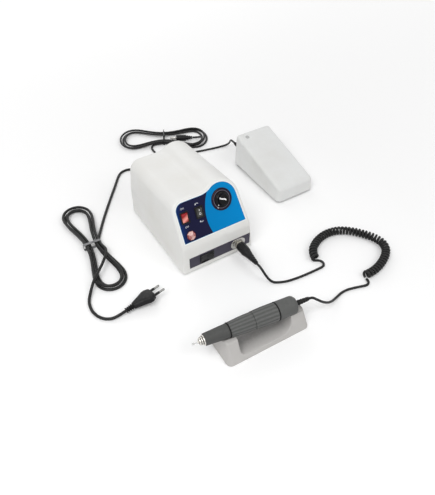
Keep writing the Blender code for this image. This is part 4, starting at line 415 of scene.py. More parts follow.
def joined(name, meshes):
    """Several meshes as one, keeping each one's finish number."""
    work = bmesh.new()
    for mesh in meshes:
        work.from_mesh(mesh)
    made = bpy.data.meshes.new(name)
    work.to_mesh(made)
    work.free()
    return made


# Finishes

def feed(tree, socket, value):
    """Link a socket to another one, or set its value."""
    if isinstance(value, bpy.types.NodeSocket):
        tree.links.new(value, socket)
    else:
        socket.default_value = value


def node(tree, kind, inputs=(), **settings):
    """Add a shader node; an input's value may be a socket to link or a value to set."""
    made = tree.nodes.new(kind)
    for key, value in settings.items():
        setattr(made, key, value)
    for key, value in dict(inputs).items():
        feed(tree, made.inputs[key], value)
    return made


def colours():
    """The colours of the sidebar."""
    return bpy.context.scene.micromotor_colours


def own_place(tree):
    """A piece's own coordinates, as a socket."""
    return tree.nodes.new("ShaderNodeTexCoord").outputs["Object"]


def parts_of(tree, vector):
    """The x, y and z of a vector, as sockets."""
    return node(tree, "ShaderNodeSeparateXYZ", {0: vector}).outputs


def noise(tree, place, scale, detail, roughness=0.5):
    """Soft noise at a place, as a socket."""
    return node(tree, "ShaderNodeTexNoise", {"Vector": place, "Scale": scale, "Detail": detail,
                                             "Roughness": roughness}).outputs[0]


def flat_distance(tree, centre):
    """How far a point of a piece is from a centre, seen along the piece's z."""
    flat = node(tree, "ShaderNodeVectorMath", {0: own_place(tree), 1: (1, 1, 0)}, operation="MULTIPLY")
    away = node(tree, "ShaderNodeVectorMath", {0: flat.outputs[0], 1: (*centre, 0)}, operation="DISTANCE")
    return away.outputs["Value"]


def mix(tree, factor, first, second):
    """A colour between two, as a socket."""
    made = node(tree, "ShaderNodeMix", {0: factor, 6: first, 7: second}, data_type="RGBA")
    return made.outputs[2]


def scaled(tree, value, low, high, first=0.0, last=1.0):
    """A value's range stretched to another one, held at both ends."""
    made = node(tree, "ShaderNodeMapRange", {0: value, 1: low, 2: high, 3: first, 4: last})
    return made.outputs[0]


def maths(tree, operation, first, second=0.0):
    """One operation on a value or on two, as a socket."""
    made = node(tree, "ShaderNodeMath", {0: first, 1: second}, operation=operation)
    return made.outputs[0]


def times(tree, first, *others):
    """The product of two or more values."""
    for other in others:
        first = maths(tree, "MULTIPLY", first, other)
    return first


def seen_directly(tree):
    """1 for what the camera sees, itself or by mirror or glass, and 0 for light that spreads."""
    rays = tree.nodes.new("ShaderNodeLightPath").outputs
    return maths(tree, "MAXIMUM", maths(tree, "MAXIMUM", rays["Is Camera Ray"], rays["Is Glossy Ray"]),
                 rays["Is Transmission Ray"])


def new_group(name, inputs, outputs):
    """An empty shader node group with named sockets; returns it with its two ends."""
    tree = bpy.data.node_groups.new(name, "ShaderNodeTree")
    for title, kind, value in inputs:
        socket = tree.interface.new_socket(title, in_out="INPUT", socket_type="NodeSocket" + kind)
        socket.default_value = value
    for title, kind in outputs:
        tree.interface.new_socket(title, in_out="OUTPUT", socket_type="NodeSocket" + kind)
    return tree, tree.nodes.new("NodeGroupInput").outputs, tree.nodes.new("NodeGroupOutput").inputs


def grain_group():
    """Fine moulded grain, with a broad drift from place to place."""
    tree, given, out = new_group(
        "moulded_grain", [("Scale", "Float", 1800.0), ("Drift Scale", "Float", 30.0)],
        [("Height", "Float"), ("Drift", "Float")])
    place = own_place(tree)
    fine = noise(tree, place, given["Scale"], 3.0)
    broad = noise(tree, place, given["Drift Scale"], 5.0, 0.6)
    pits = node(tree, "ShaderNodeTexVoronoi", {"Vector": place, "Scale": given["Scale"]})
    feed(tree, out["Height"], maths(tree, "ADD", times(tree, fine, 0.6),
                                    times(tree, pits.outputs["Distance"], 0.4)))
    feed(tree, out["Drift"], scaled(tree, broad, 0.3, 0.7))


def handling_group():
    """A colour aged by drift, dust on what faces up, and a mask for rubbed edges."""
    tree, given, out = new_group(
        "handling", [("Colour", "Color", (0.5, 0.5, 0.5, 1)), ("Aged Colour", "Color", (0.4, 0.4, 0.4, 1)),
                     ("Ageing", "Float", 0.3), ("Dust", "Float", 0.1), ("Rubbing", "Float", 0.3),
                     ("Drift", "Float", 0.5)],
        [("Colour", "Color"), ("Rubbed", "Float"), ("Dusty", "Float")])
    place = own_place(tree)
    facing = tree.nodes.new("ShaderNodeNewGeometry")
    aged = mix(tree, times(tree, given["Drift"], given["Ageing"]), given["Colour"], given["Aged Colour"])
    height = parts_of(tree, facing.outputs["Normal"])["Z"]
    specks = scaled(tree, noise(tree, place, 260.0, 6.0), 0.45, 0.75)
    dusty = times(tree, scaled(tree, height, 0.3, 1.0), specks, given["Dust"])
    smudges = scaled(tree, noise(tree, place, 90.0, 4.0), 0.35, 0.6)
    edge = scaled(tree, facing.outputs["Pointiness"], 0.52, 0.6)
    feed(tree, out["Colour"], mix(tree, dusty, aged, (0.62, 0.60, 0.57, 1)))
    feed(tree, out["Rubbed"], times(tree, edge, given["Rubbing"], smudges))
    feed(tree, out["Dusty"], dusty)


def turning_group():
    """Fine rings left by a lathe, about a piece's own z."""
    tree, given, out = new_group("turned_marks", [("Spacing", "Float", 4000.0)], [("Height", "Float")])
    parts = parts_of(tree, own_place(tree))
    radius = maths(tree, "SQRT", maths(tree, "ADD", times(tree, parts[0], parts[0]),
                                       times(tree, parts[1], parts[1])))
    along = node(tree, "ShaderNodeCombineXYZ", {0: radius, 1: parts[2]}).outputs[0]
    feed(tree, out["Height"], noise(tree, along, given["Spacing"], 2.0))


def shader(name):
    """A new material's node tree and its Principled shader."""
    made = bpy.data.materials.new(name)
    made.use_nodes = True
    FINISHES[name] = made
    tree = made.node_tree
    return tree, tree.nodes["Principled BSDF"]


def set_shade(tree, shade, values):
    """Link or set a shader's inputs by their titles."""
    for title, value in values.items():
        feed(tree, shade.inputs[title], value)


def grouped(tree, group, **values):
    """A shared group in a material, with its values; returns the group's outputs."""
    made = tree.nodes.new("ShaderNodeGroup")
    made.node_tree = bpy.data.node_groups[group]
    for key, value in values.items():
        feed(tree, made.inputs[key.replace("_", " ").title()], value)
    return made.outputs


def toned(colour, share):
    """A colour made lighter or darker."""
    return (*(clamped(c * share) for c in colour[:3]), 1)


def finish(name, colour, roughness, metal=0.0, grain=1800.0, relief=0.02, ageing=0.3, aged=None,
           dust=0.08, rubbing=0.3, drift_scale=30.0, coat=0.0, spacing=0.0, specular=0.5, base=None):
    """A moulded, painted or metal finish from the shared groups.

    A base may give a colour socket, and a spacing gives a lathe's fine rings.
    """
    tree, shade = shader(name)
    marks = grouped(tree, "moulded_grain", scale=grain, drift_scale=drift_scale)
    colour = base(tree) if base else toned(colour, 1.0)
    aged = toned(aged, 1.0) if aged else (0.35, 0.34, 0.33, 1) if base else toned(colour, 0.8)
    wear = grouped(tree, "handling", colour=colour, aged_colour=aged, ageing=ageing, dust=dust,
                   rubbing=rubbing, drift=marks["Drift"])
    drifting = scaled(tree, marks["Drift"], 0.0, 1.0, roughness - ROUGHNESS_DRIFT,
                      roughness + ROUGHNESS_DRIFT)
    rough = maths(tree, "ADD", drifting, times(tree, wear["Dusty"], 0.4))
    rough = maths(tree, "SUBTRACT", rough, times(tree, wear["Rubbed"], 0.25))
    height = marks["Height"]
    if spacing:
        height = grouped(tree, "turned_marks", spacing=spacing)["Height"]
    bump = node(tree, "ShaderNodeBump", {"Height": height, "Strength": 1.0, "Distance": relief * MM})
    set_shade(tree, shade, {"Base Color": wear["Colour"], "Roughness": rough, "Normal": bump.outputs[0],
                            "Metallic": metal, "Coat Weight": coat, "Coat Roughness": 0.12,
                            "Specular IOR Level": specular})
    return tree, shade


def panel_print_and_sheen(tree):
    """The front panel's printed colours, a bright field whose left edge is one wide arc, with a painted
    sheen that makes the bright field lighter towards the right.
    """
    away = flat_distance(tree, (134.4 * MM, 38 * MM))
    inside = scaled(tree, away, 76.7 * MM, 77 * MM, 1.0, 0.0)
    across = parts_of(tree, own_place(tree))[0]
    edge = scaled(tree, across, 6 * MM, 26 * MM, 1.0, 0.0)
    dark = mix(tree, times(tree, edge, edge), (*colours().navy, 1), (*colours().navy_edge, 1))
    # Painted sheen: the bright field grows lighter towards the right.
    painted_sheen = scaled(tree, across, 60 * MM, 130 * MM)
    bright = mix(tree, painted_sheen, (*colours().blue, 1), toned(colours().blue, 1.18))
    return mix(tree, inside, dark, bright)


def slanted(tree, direction, low, high, first, last):
    """Two colours run together across a piece, along a direction in its own frame."""
    along = node(tree, "ShaderNodeVectorMath", {0: own_place(tree), 1: direction}, operation="DOT_PRODUCT")
    return mix(tree, scaled(tree, along.outputs["Value"], low, high), first, last)


def rocker_painted_light(tree):
    """The red rocker, lit and shaded in paint: deep red at both ends as painted shade, with a painted
    highlight in a pale pink band between them.
    """
    colour = colours().rocker
    down = (0.45, -0.89, 0)
    # Painted highlight in the pale pink band, painted shade in the deeper red ends.
    upper = slanted(tree, down, -3 * MM, 2.5 * MM, toned(colour, 0.6), (0.94, 0.34, 0.28, 1))
    return slanted(tree, down, 3.5 * MM, 7.5 * MM, upper, toned(colour, 0.4))


def grip_painted_light(tree):
    """Grip rubber with painted light: paler along the ridges of the flutes as a painted highlight, darker
    between them as painted shade.
    """
    colour = colours().grip
    parts = parts_of(tree, own_place(tree))
    around = times(tree, maths(tree, "ARCTAN2", parts[1], parts[0]),
                   float(bpy.context.scene.micromotor_sizes.flutes))
    ridge = scaled(tree, maths(tree, "COSINE", around), -0.8, 0.8)
    return mix(tree, ridge, toned(colour, 0.8), toned(colour, 1.25))


def rest_painted_shade(tree):
    """Rest rubber with painted shade: darker along the middle of the trough, under the handpiece."""
    colour = colours().rest
    parts = parts_of(tree, own_place(tree))
    middle = scaled(tree, maths(tree, "ABSOLUTE", parts[1]), 3 * MM, 23 * MM, 1.0, 0.0)
    low = scaled(tree, parts[2], 22 * MM, 31 * MM, 1.0, 0.0)
    painted_shade = times(tree, middle, low, scaled(tree, parts[0], -52 * MM, -44 * MM),
                 scaled(tree, parts[0], 34 * MM, 45 * MM, 1.0, 0.0))
    return mix(tree, painted_shade, (*colour, 1), toned(colour, 0.38))


def lamp_painted_facets(tree):
    """The lamp's lens, lit in paint: each facet between a pale painted highlight and deep red painted shade
    by the way it faces, with painted shade of near black low by the rim.
    """
    colour = colours().lamp
    facing = tree.nodes.new("ShaderNodeTexCoord").outputs["Normal"]
    along = parts_of(tree, facing)
    pale = maths(tree, "SUBTRACT", maths(tree, "ABSOLUTE", along[1]), maths(tree, "ABSOLUTE", along[0]))
    facets = mix(tree, scaled(tree, pale, -0.45, 0.4), toned(colour, 0.3), (0.97, 0.68, 0.62, 1))
    height = parts_of(tree, own_place(tree))[2]
    return mix(tree, scaled(tree, height, 1.7 * MM, 3.1 * MM), (0.05, 0.008, 0.012, 1), facets)


def dial_print(tree):
    """The dial: near black, with a painted highlight, a grey line round the knob for the light on the
    skirt's rim.
    """
    away = flat_distance(tree, (0, 0))
    line = times(tree, scaled(tree, away, 14.2 * MM, 14.5 * MM),
                 scaled(tree, away, 15.1 * MM, 15.4 * MM, 1.0, 0.0))
    return mix(tree, line, (0.012, 0.008, 0.022, 1), (0.15, 0.14, 0.16, 1))


def make_finishes():
    """Every material of the set."""
    c = colours()
    grain_group()
    handling_group()
    turning_group()
    finish("case_paint", c.case, 0.45, grain=1500, relief=0.03, aged=(0.70, 0.68, 0.62), ageing=0.35,
           dust=0.05, rubbing=0.5, drift_scale=14)
    # The rim is the case colour made lighter, a painted highlight along the bead round the panel.
    finish("case_rim", toned(c.case, 1.12), 0.3, grain=1500, relief=0.01, ageing=0.1, dust=0.0)
    finish("pedal_plastic", c.pedal, 0.48, grain=1300, relief=0.045, aged=(0.64, 0.63, 0.60),
           ageing=0.4, dust=0.06, drift_scale=18)
    finish("disc_grey", toned(c.pedal, 0.6), 0.5, grain=1500, ageing=0.2, dust=0.05)
    finish("panel_print_and_sheen", None, 0.36, grain=2600, relief=0.008, ageing=0.03, aged=(0.03, 0.06, 0.1),
           dust=0.0, rubbing=0.2, coat=0.01, specular=0.05, base=panel_print_and_sheen)
    finish("panel_border", c.border, 0.35, grain=2600, relief=0.008, ageing=0.2, dust=0.03)
    finish("panel_marks", (0.72, 0.74, 0.78), 0.4, grain=2600, relief=0.006, ageing=0.2, dust=0.0)
    finish("dial_print", None, 0.36, grain=2600, relief=0.008, ageing=0.15, coat=0.05, specular=0.1,
           aged=(0.03, 0.02, 0.04), dust=0.0, base=dial_print)
    finish("strip_print", c.strip, 0.42, grain=2400, relief=0.012, ageing=0.35, specular=0.2,
           aged=(0.035, 0.032, 0.045), dust=0.03)
    finish("black_gloss", (0.004, 0.004, 0.005), 0.22, grain=1600, relief=0.012, ageing=0.2, coat=0.05,
           dust=0.0, specular=0.12)
    finish("worn_black", (0.008, 0.008, 0.009), 0.3, grain=1600, relief=0.012, coat=0.06,
           dust=0.03, rubbing=0.9, specular=0.25)
    finish("black_plastic", (0.009, 0.009, 0.010), 0.42, grain=1600, relief=0.035, dust=0.03,
           specular=0.2)
    finish("rocker_red", None, 0.22, relief=0.012, ageing=0.1, coat=0.3, specular=0.3,
           aged=(0.30, 0.008, 0.010), dust=0.0, drift_scale=120, base=rocker_painted_light)
    finish("nickel", (0.47, 0.46, 0.44), 0.26, 1.0, relief=0.006, dust=0.03, spacing=3500)
    finish("rocker_black", (0.035, 0.035, 0.03), 0.32, grain=1600, relief=0.012, coat=0.2,
           dust=0.05, rubbing=0.9)
    finish("chrome", (0.66, 0.64, 0.60), 0.16, 1.0, relief=0.003, ageing=0.2, dust=0.0, spacing=3000)
    finish("pin_metal", (0.26, 0.26, 0.25), 0.3, 1.0, relief=0.006, dust=0.0, spacing=3500)
    finish("steel", (0.52, 0.52, 0.51), 0.3, 1.0, relief=0.008, dust=0.05, spacing=3500)
    finish("grip_rubber", c.grip, 0.6, grain=1500, relief=0.025, ageing=0.25, dust=0.03, rubbing=0.4,
           specular=0.3, aged=toned(c.grip, 0.8)[:3])
    finish("fluted_rubber", None, 0.6, grain=1500, relief=0.025, ageing=0.2, dust=0.03, rubbing=0.4,
           specular=0.3, aged=toned(c.grip, 0.8)[:3], base=grip_painted_light)
    finish("sleeve_rubber", toned(c.grip, 0.68), 0.55, grain=1500, ageing=0.25, dust=0.02,
           rubbing=0.4, specular=0.3)
    finish("ring_rubber", (0.008, 0.008, 0.008), 0.55, grain=2200, dust=0.03, specular=0.2)
    finish("rest_rubber", None, 0.6, grain=1100, relief=0.06, base=rest_painted_shade,
           aged=toned(c.rest, 0.82)[:3], dust=0.1, rubbing=0.4, drift_scale=22)
    finish("black_rubber", (0.010, 0.010, 0.010), 0.6, grain=1500, relief=0.05, dust=0.04, specular=0.2)
    finish("dark_metal", (0.05, 0.05, 0.052), 0.5, 0.6, grain=900, relief=0.03, dust=0.1)
    finish("board_green", (0.02, 0.15, 0.06), 0.4, grain=700, relief=0.03, ageing=0.6,
           aged=(0.01, 0.07, 0.03))
    finish("core_iron", (0.26, 0.25, 0.24), 0.5, 0.8, grain=400, relief=0.06, dust=0.1)
    finish("copper", (0.60, 0.28, 0.14), 0.35, 1.0, grain=2500, relief=0.05, ageing=0.4)
    finish("magnet_grey", (0.09, 0.09, 0.10), 0.5, grain=900, relief=0.04)
    finish("carbon", (0.025, 0.025, 0.026), 0.7, grain=2600, relief=0.05)
    finish("lead_cover", c.lead, 0.38, ageing=0.4, dust=0.0, specular=0.22,
           aged=toned(c.lead, 1.8)[:3], drift_scale=60)
    finish("plug_collar", (0.42, 0.40, 0.35), 0.3, 1.0, relief=0.006, ageing=0.4, dust=0.0, spacing=3000)
    finish("panel_line", (0.002, 0.10, 0.30), 0.4, grain=2600, relief=0.008, dust=0.0, specular=0.2)
    finish("dial_brown", (0.10, 0.045, 0.03), 0.4, grain=2600, relief=0.006, dust=0.0, specular=0.2)
    finish("mark_white", (0.86, 0.86, 0.86), 0.4, grain=2600, relief=0.006, ageing=0.1, dust=0.0)
    finish("tie_grey", (0.20, 0.20, 0.21), 0.5, grain=2200)
    tree, shade = finish("lamp_lens", None, 0.12, grain=900, relief=0.01, ageing=0.05, coat=0.5,
                         aged=(0.35, 0.006, 0.008), dust=0.0, specular=0.4, base=lamp_painted_facets)
    # The faint red emission is a painted glow in the lens.
    set_shade(tree, shade, {"Transmission Weight": 0.2, "Emission Color": (*c.lamp, 1),
                            "Emission Strength": 0.06})


# The case's cross-section, as x and the distance h up its front

def top_outline(inset):
    """The left corner, shoulder, hollow and hump of the section, left to right."""
    shoulder = NOSE + SHOULDER_RISE
    corner = (LEFT_LEAN + SHOULDER_RADIUS, shoulder - SHOULDER_RADIUS)
    rise = shoulder + BLEND_RADIUS - HUMP[1]
    hollow = (HUMP[0] - math.sqrt((HUMP_RADIUS + BLEND_RADIUS) ** 2 - rise ** 2), shoulder + BLEND_RADIUS)
    lean = math.atan2(rise, HUMP[0] - hollow[0])
    points = arc(corner, SHOULDER_RADIUS - inset, math.pi, QUARTER, 10)
    points += arc(hollow, BLEND_RADIUS + inset, -QUARTER, -lean, 8)
    return points + arc(HUMP, HUMP_RADIUS - inset, math.pi - lean, HUMP_END, 30)[1:]


def left_wall(inset, h):
    """The x of the left side at a height."""
    return inset + LEFT_LEAN * max(h, 0) / (NOSE + SHOULDER_RISE - SHOULDER_RADIUS)


def right_wall(inset, h):
    """The x of the right side at a height."""
    top_x = HUMP[0] + (HUMP_RADIUS - inset) * math.cos(HUMP_END)
    top_h = HUMP[1] + (HUMP_RADIUS - inset) * math.sin(HUMP_END)
    return CASE_WIDTH - inset + (top_x - CASE_WIDTH + inset) * h / top_h


def nose_round():
    """The radius of the rounded ridge between panel and lower front, and half its length."""
    radius = bpy.context.scene.micromotor_sizes.nose_round
    return radius, radius * math.tan(TILT / 2)


def on_front(x, h, depth):
    """A section point on the front, whose ridge is rounded, set back by a depth square to the face."""
    radius, half = nose_round()
    if h <= NOSE - half:
        return (x, depth, h)
    if h < NOSE + half:
        turn = TILT * (h - NOSE + half) / (2 * half)
        return (x, radius - (radius - depth) * math.cos(turn),
                NOSE - half + (radius - depth) * math.sin(turn))
    up = h - NOSE
    return (x, up * math.sin(TILT) + depth * math.cos(TILT),
            NOSE + up * math.cos(TILT) - depth * math.sin(TILT))


def at_rear(x, h, y):
    """A section point at the back, where the roof is lower, its shoulder most, and leans right."""
    if h <= NOSE:
        return (x, y, h)
    share = (h - NOSE) / (HUMP[1] + HUMP_RADIUS - NOSE)
    return (x + REAR_SHIFT * share, y, NOSE + (REAR_HEIGHT - NOSE) * share ** REAR_FALL)


def case_mesh(name, front, back, bottom):
    """A lofted case body; front and back list (inset, depth) and (inset, y) from face to middle."""
    half = nose_round()[1]
    ridge = [NOSE - half + 2 * half * i / 6 for i in range(7)]
    levels = [bottom, 12 * MM, 35 * MM, *ridge, NOSE + PANEL_FOOT]

    def ring(inset, put, depth):
        left = [put(left_wall(inset, h), h, depth) for h in levels]
        right = [put(right_wall(inset, h), h, depth) for h in reversed(levels)]
        return left + [put(x, h, depth) for x, h in top_outline(inset)] + right

    rings = [ring(inset, on_front, depth) for inset, depth in front]
    rings += [ring(inset, at_rear, y) for inset, y in back]
    mesh = loft(name, rings, caps=(False, True))
    count, rows = len(rings[0]), len(levels)
    work = bmesh.new()
    work.from_mesh(mesh)
    work.verts.ensure_lookup_table()
    for i in range(rows - 1):
        work.faces.new([work.verts[k] for k in (i, i + 1, count - 2 - i, count - 1 - i)])
    work.faces.new([work.verts[k] for k in range(rows - 1, count - rows + 1)])
    bmesh.ops.recalc_face_normals(work, faces=work.faces)
    work.to_mesh(mesh)
    work.free()
    return mesh


def panel_outline(inset):
    """The front panel's outline, measured up from the nose ridge."""
    foot = NOSE + PANEL_FOOT + inset - PANEL_MARGIN
    corner = [(inset + LEFT_LEAN, foot)] + top_outline(inset) + [(right_wall(inset, foot), foot)]
    return [(x, h - NOSE) for x, h in corner]


def in_box(matrix):
    """A frame of the box as seen from the box's own frame."""
    return BOX.inverted() @ matrix


# Operators

class PieceOperator:
    """What every building operator shares."""
    bl_options = {"REGISTER", "UNDO"}

    def execute(self, context):
        self.build(context.scene.micromotor_sizes)
        return {"FINISHED"}


class MICROMOTOR_OT_case(PieceOperator, bpy.types.Operator):
    """Build the case shell with its rounded edges, seats and holes"""
    bl_idname = "micromotor.case"
    bl_label = "Case"

    def build(self, sizes):
        front = [(sizes.edge_round * (1 - math.sin(a)), sizes.edge_round * (1 - math.cos(a)))
                 for a in [QUARTER * i / 5 for i in range(6)]]
        back = [(REAR_ROUND * (1 - math.cos(a)), CASE_DEPTH - REAR_ROUND * (1 - math.sin(a)))
                for a in [QUARTER * i / 7 for i in range(8)]]
        shell = case_mesh("case", front, back, CASE_BOTTOM)
        hollow = case_mesh("hollow", [(CASE_WALL, CASE_WALL)], [(CASE_WALL, CASE_DEPTH - CASE_WALL)],
                           -4 * MM)
        seat = loft("seat", [[(x, y, z) for x, y in panel_outline(PANEL_MARGIN - GAP)]
                             for z in (-1.5 * MM, 4 * MM)])
        strip = block("strip", (121.6, 24.6, 5.5), (*STRIP_MM, 1.25))
        cuts = [hollow, moved(seat, in_box(PANEL)), moved(strip, in_box(FRONT))]
        for place, width, height in ((POWER, 13, 18), (DIRECTION, 13, 18), (SELECTOR, 25, 16)):
            cuts.append(moved(block("hole", (width, height, 20)), in_box(place)))
        for place, radius in ((LAMP, 4.3), (KNOB, 4.3), (SOCKET, 8.9), (GLAND, 5.3), (JACK, 5.7)):
            cuts.append(moved(drill(radius, -8, 8, 32), in_box(place)))
        piece("case", shell, BOX, "set", "case_paint", ["case_shell"], cuts=cuts)
        for k, (x, y) in enumerate(((14, 14), (126, 14), (14, 96), (126, 88))):
            head = turned("screw", [(0, -0.4), (2.9, -0.4), (2.9, 0.5), (1.6, 1.1), (0, 1.2)], 32, 0.3)
            slot = block("slot", (4.4, 0.8, 1.2), (0, 0, 1.2))
            place = shifted(REAR, x, y) @ Matrix.Rotation(0.7 + k, 4, "Z")
            piece(f"rear_screw_{k + 1}", head, place, "set", "steel", cuts=[slot])


class MICROMOTOR_OT_panels(PieceOperator, bpy.types.Operator):
    """Build the printed front panel, its dial and marks, and the lower panel"""
    bl_idname = "micromotor.panels"
    bl_label = "Panels"

    def build(self, sizes):
        def ring(inset, z):
            return [(x, y, z) for x, y in panel_outline(PANEL_MARGIN + inset)]

        width = sizes.border_width
        rings = [ring(0, -1.2 * MM), ring(0, -0.25 * MM), ring(0.07 * MM, -0.07 * MM),
                 ring(0.25 * MM, 0), ring(width, 0), ring(2 * width, 0)]
        mesh = loft("panel", rings, [1, 1, 1, 1, 2])
        mesh.polygons[len(mesh.polygons) - 1].material_index = 0
        piece("front_print", mesh, PANEL, "set", ["panel_print_and_sheen", "panel_border", "panel_line"],
              ["front_panel"])
        # The rim's lighter finish is a painted highlight round the panel.
        rim = metres([(0.1, -0.6), (0.1, 0.15), (-0.25, 0.5), (-0.9, 0.55), (-1.4, 0.3), (-1.6, -0.3),
                      (-1.6, -0.6)])
        piece("panel_rim", looped("rim", [ring(inset, z) for inset, z in rim]), PANEL, "set", "case_rim")
        dial = turned("dial", [(0, -1), (19, -1), (19, 0.8), (0, 0.8)], 96, 0.3)
        piece("dial_disc", dial, KNOB, "set", "dial_print")
        self.marks()
        strip = plate("strip", lambda inset: [(x + STRIP_MM[0] * MM, y + STRIP_MM[1] * MM) for x, y in (
            rounded_rectangle(121 * MM - 2 * inset, 24 * MM - 2 * inset, 1 * MM))], -1.2 * MM, 0)
        piece("lower_print", strip, FRONT, "set", "strip_print", ["lower_panel"])

    def marks(self):
        """Scale marks on the dial, and the switch words and arrows on the panel."""
        width, dial_top, ink = 0.8 * MM, 0.8 * MM, 0.06 * MM

        def stroke(points, z):
            path = np.array(points, float)
            ahead = np.gradient(path, axis=0)
            ahead /= np.linalg.norm(ahead, axis=1)[:, None]
            side = np.stack([-ahead[:, 1], ahead[:, 0]], 1) * width / 2
            outline = np.concatenate([path + side, (path - side)[::-1]])
            return loft("stroke", [[(x, y, z + up) for x, y in outline] for up in (0, ink)])

        brown = stroke(arc((0, 0), 17.3 * MM, math.radians(98), math.radians(165), 20), dial_top)
        piece("dial_arc", brown, KNOB, "set", "dial_brown")
        dash = stroke(metres([(-11.2, -11.2), (-9.2, -12.4)]), dial_top)
        piece("dial_mark", dash, KNOB, "set", "mark_white")
        arrows = []
        for x, y, flip in ((47, 68.6, 1), (48.2, 36.2, -1)):
            middle = (x * MM, (y - flip * 3.4) * MM)
            bow = arc(middle, 3.4 * MM, math.radians(40), math.radians(132), 10)
            bow = [(across, middle[1] + flip * (up - middle[1])) for across, up in bow]
            arrows.append(stroke(bow, 0))
            head = [(bow[-1][0] + across, bow[-1][1] + flip * up)
                    for across, up in metres([(-1.7, -1.3), (1.1, -1.6), (-0.4, 1.6)])]
            arrows.append(loft("head", [[(*point, z) for point in head] for z in (0, ink)]))
        piece("turn_arrows", joined("turn_arrows", arrows), PANEL, "set", "panel_marks")
        for word, y in (("ON", 68.4), ("OFF", 37.0)):
            letters = bpy.data.curves.new(word, "FONT")
            letters.body, letters.size, letters.extrude = word, 4 * MM, 0.03 * MM
            letters.align_x, letters.align_y = "CENTER", "CENTER"
            lettered = placed(word, letters)
            bpy.context.view_layer.update()
            mesh = bpy.data.meshes.new_from_object(lettered)
            bpy.data.objects.remove(lettered, do_unlink=True)
            piece("word_" + word.lower(), mesh, shifted(PANEL, 20.6, y, 0.03), "set", "panel_marks")


class MICROMOTOR_OT_speed_knob(PieceOperator, bpy.types.Operator):
    """Build the skirted speed knob with its pointer, partly a painted highlight, and dot"""
    bl_idname = "micromotor.speed_knob"
    bl_label = "Speed Knob"

    def build(self, sizes):
        skirt = [(3.3, 1.1), (13.5, 1.1), (13.4, 2.2), (12.7, 3.3), (10.9, 4.1), (10.2, 4.6)]
        grip = [(9.8, 5.1), (9.5, 6.6), (9.1, 8.1), (8.5, 8.8), (7.6, 9), (6.2, 8.8), (0, 8.7)]
        profile = softened([(3.3, 6.8), *skirt], 0.5, 3)[:-1] + softened([skirt[-1], *grip], 0.7, 4)
        profile = [(0, 6.8)] + profile

        def ribs(angle, height, radius):
            share = between(height / MM, 4.7, 8.6, 0.8, 0.8)
            wave = abs(math.cos(angle * sizes.knob_ribs / 2)) ** 1.5
            return radius - share * sizes.rib_depth * (1 - wave)

        piece("knob", turned("knob", profile, 192, ribs=ribs), KNOB, "speed_knob", "black_gloss",
              ["speed_knob"], angle=40)
        # The white bar is the pointer, and its S shape is a painted highlight along it.
        line = [(6.2 * t, 0.9 * math.sin(2.6 * t)) for t in [i / 8 - 1 for i in range(17)]]
        outline = [(x, y + 1.15) for x, y in line] + [(x, y - 1.15) for x, y in reversed(line)]
        bar = loft("pointer", [metres([(x, y, z) for x, y in outline]) for z in (8.3, 9.45)])
        piece("knob_pointer_and_highlight", bar, spun(shifted(KNOB, -1.6, 1.7), -37, "Z"), "speed_knob", "mark_white",
              bevel=0.15 * MM)
        dot = turned("dot", [(0, -0.3), (0.75, -0.3), (0.75, 0.12), (0, 0.2)], 24)
        place = spun(shifted(spun(KNOB, -143, "Z"), 11.9, 0, 3.68), 24, "Y")
        piece("knob_dot", dot, place, "speed_knob", "mark_white")


def rocker_crown(share, reach):
    """The y and z of a rocker's hollow top in millimetres, from one end at -1 to the other at 1."""
    rise = reach * math.sin(ROCKER_LEAN) - ROCKER_DIP_MM
    return share * reach * math.cos(ROCKER_LEAN), ROCKER_DIP_MM + rise * abs(share) ** ROCKER_CURVE


def rocker_switch(name, place, width, length, tilt, colour):
    """One switch: a bezelled body on the set, and a two-faced rocker; returns the rocker's reach.

    The width, the length and the reach are in millimetres, and the tilt in degrees.
    """
    rings = []
    for lips, inset, radius, z in (
            (2, 0, 0.5, -14), (2, 0, 0.5, 0.3), (0, 0, 1, 0.3), (0, 0, 1, 1.5), (0, 0.15, 1, 1.85),
            (0, 0.45, 0.9, 2.1), (3, -0.4, 0.9, 2.1), (3, -0.1, 0.7, 1.9), (3, 0, 0.6, 1.6),
            (3, 0, 0.6, -6)):
        less = lips * BEZEL_LIP_MM + 2 * inset
        outline = rounded_rectangle(width - less, length - less, radius)
        rings.append(metres([(x, y, z) for x, y in outline]))
    piece(name + "_bezel", loft(name, rings), place, "set", "black_plastic", [name + "_switch"])
    half, reach = ((size - 3 * BEZEL_LIP_MM) / 2 - ROCKER_PLAY_MM for size in (width, length))
    side = arc((0, 0), reach, -ROCKER_LEAN, ROCKER_LEAN, 6)
    crown = [rocker_crown(1 - i / 8, reach) for i in range(1, 16)]
    other = arc((0, 0), reach, math.pi - ROCKER_LEAN, math.pi + ROCKER_LEAN, 6)
    c, s = math.cos(math.radians(tilt)), math.sin(math.radians(tilt))
    profile = [(y * c - z * s, y * s + z * c) for y, z in side + crown + other]
    mesh = loft(name, [metres([(x, y, z) for y, z in profile]) for x in (-half, half)])
    piece(name + "_paddle", mesh, place, name + "_rocker", colour, [name + "_rocker"],
          bevel=0.35 * MM, angle=30)
    return reach


def on_rocker(place, y, tilt, reach):
    """A frame on the rocker's top at a distance from its middle, its z square to the face."""
    z = rocker_crown(y / (reach * math.cos(ROCKER_LEAN)), reach)[1]
    slope = ROCKER_CURVE * (z - ROCKER_DIP_MM) / y
    return spun(shifted(spun(place, tilt, "X"), 0, y, z), math.degrees(math.atan(slope)), "X")


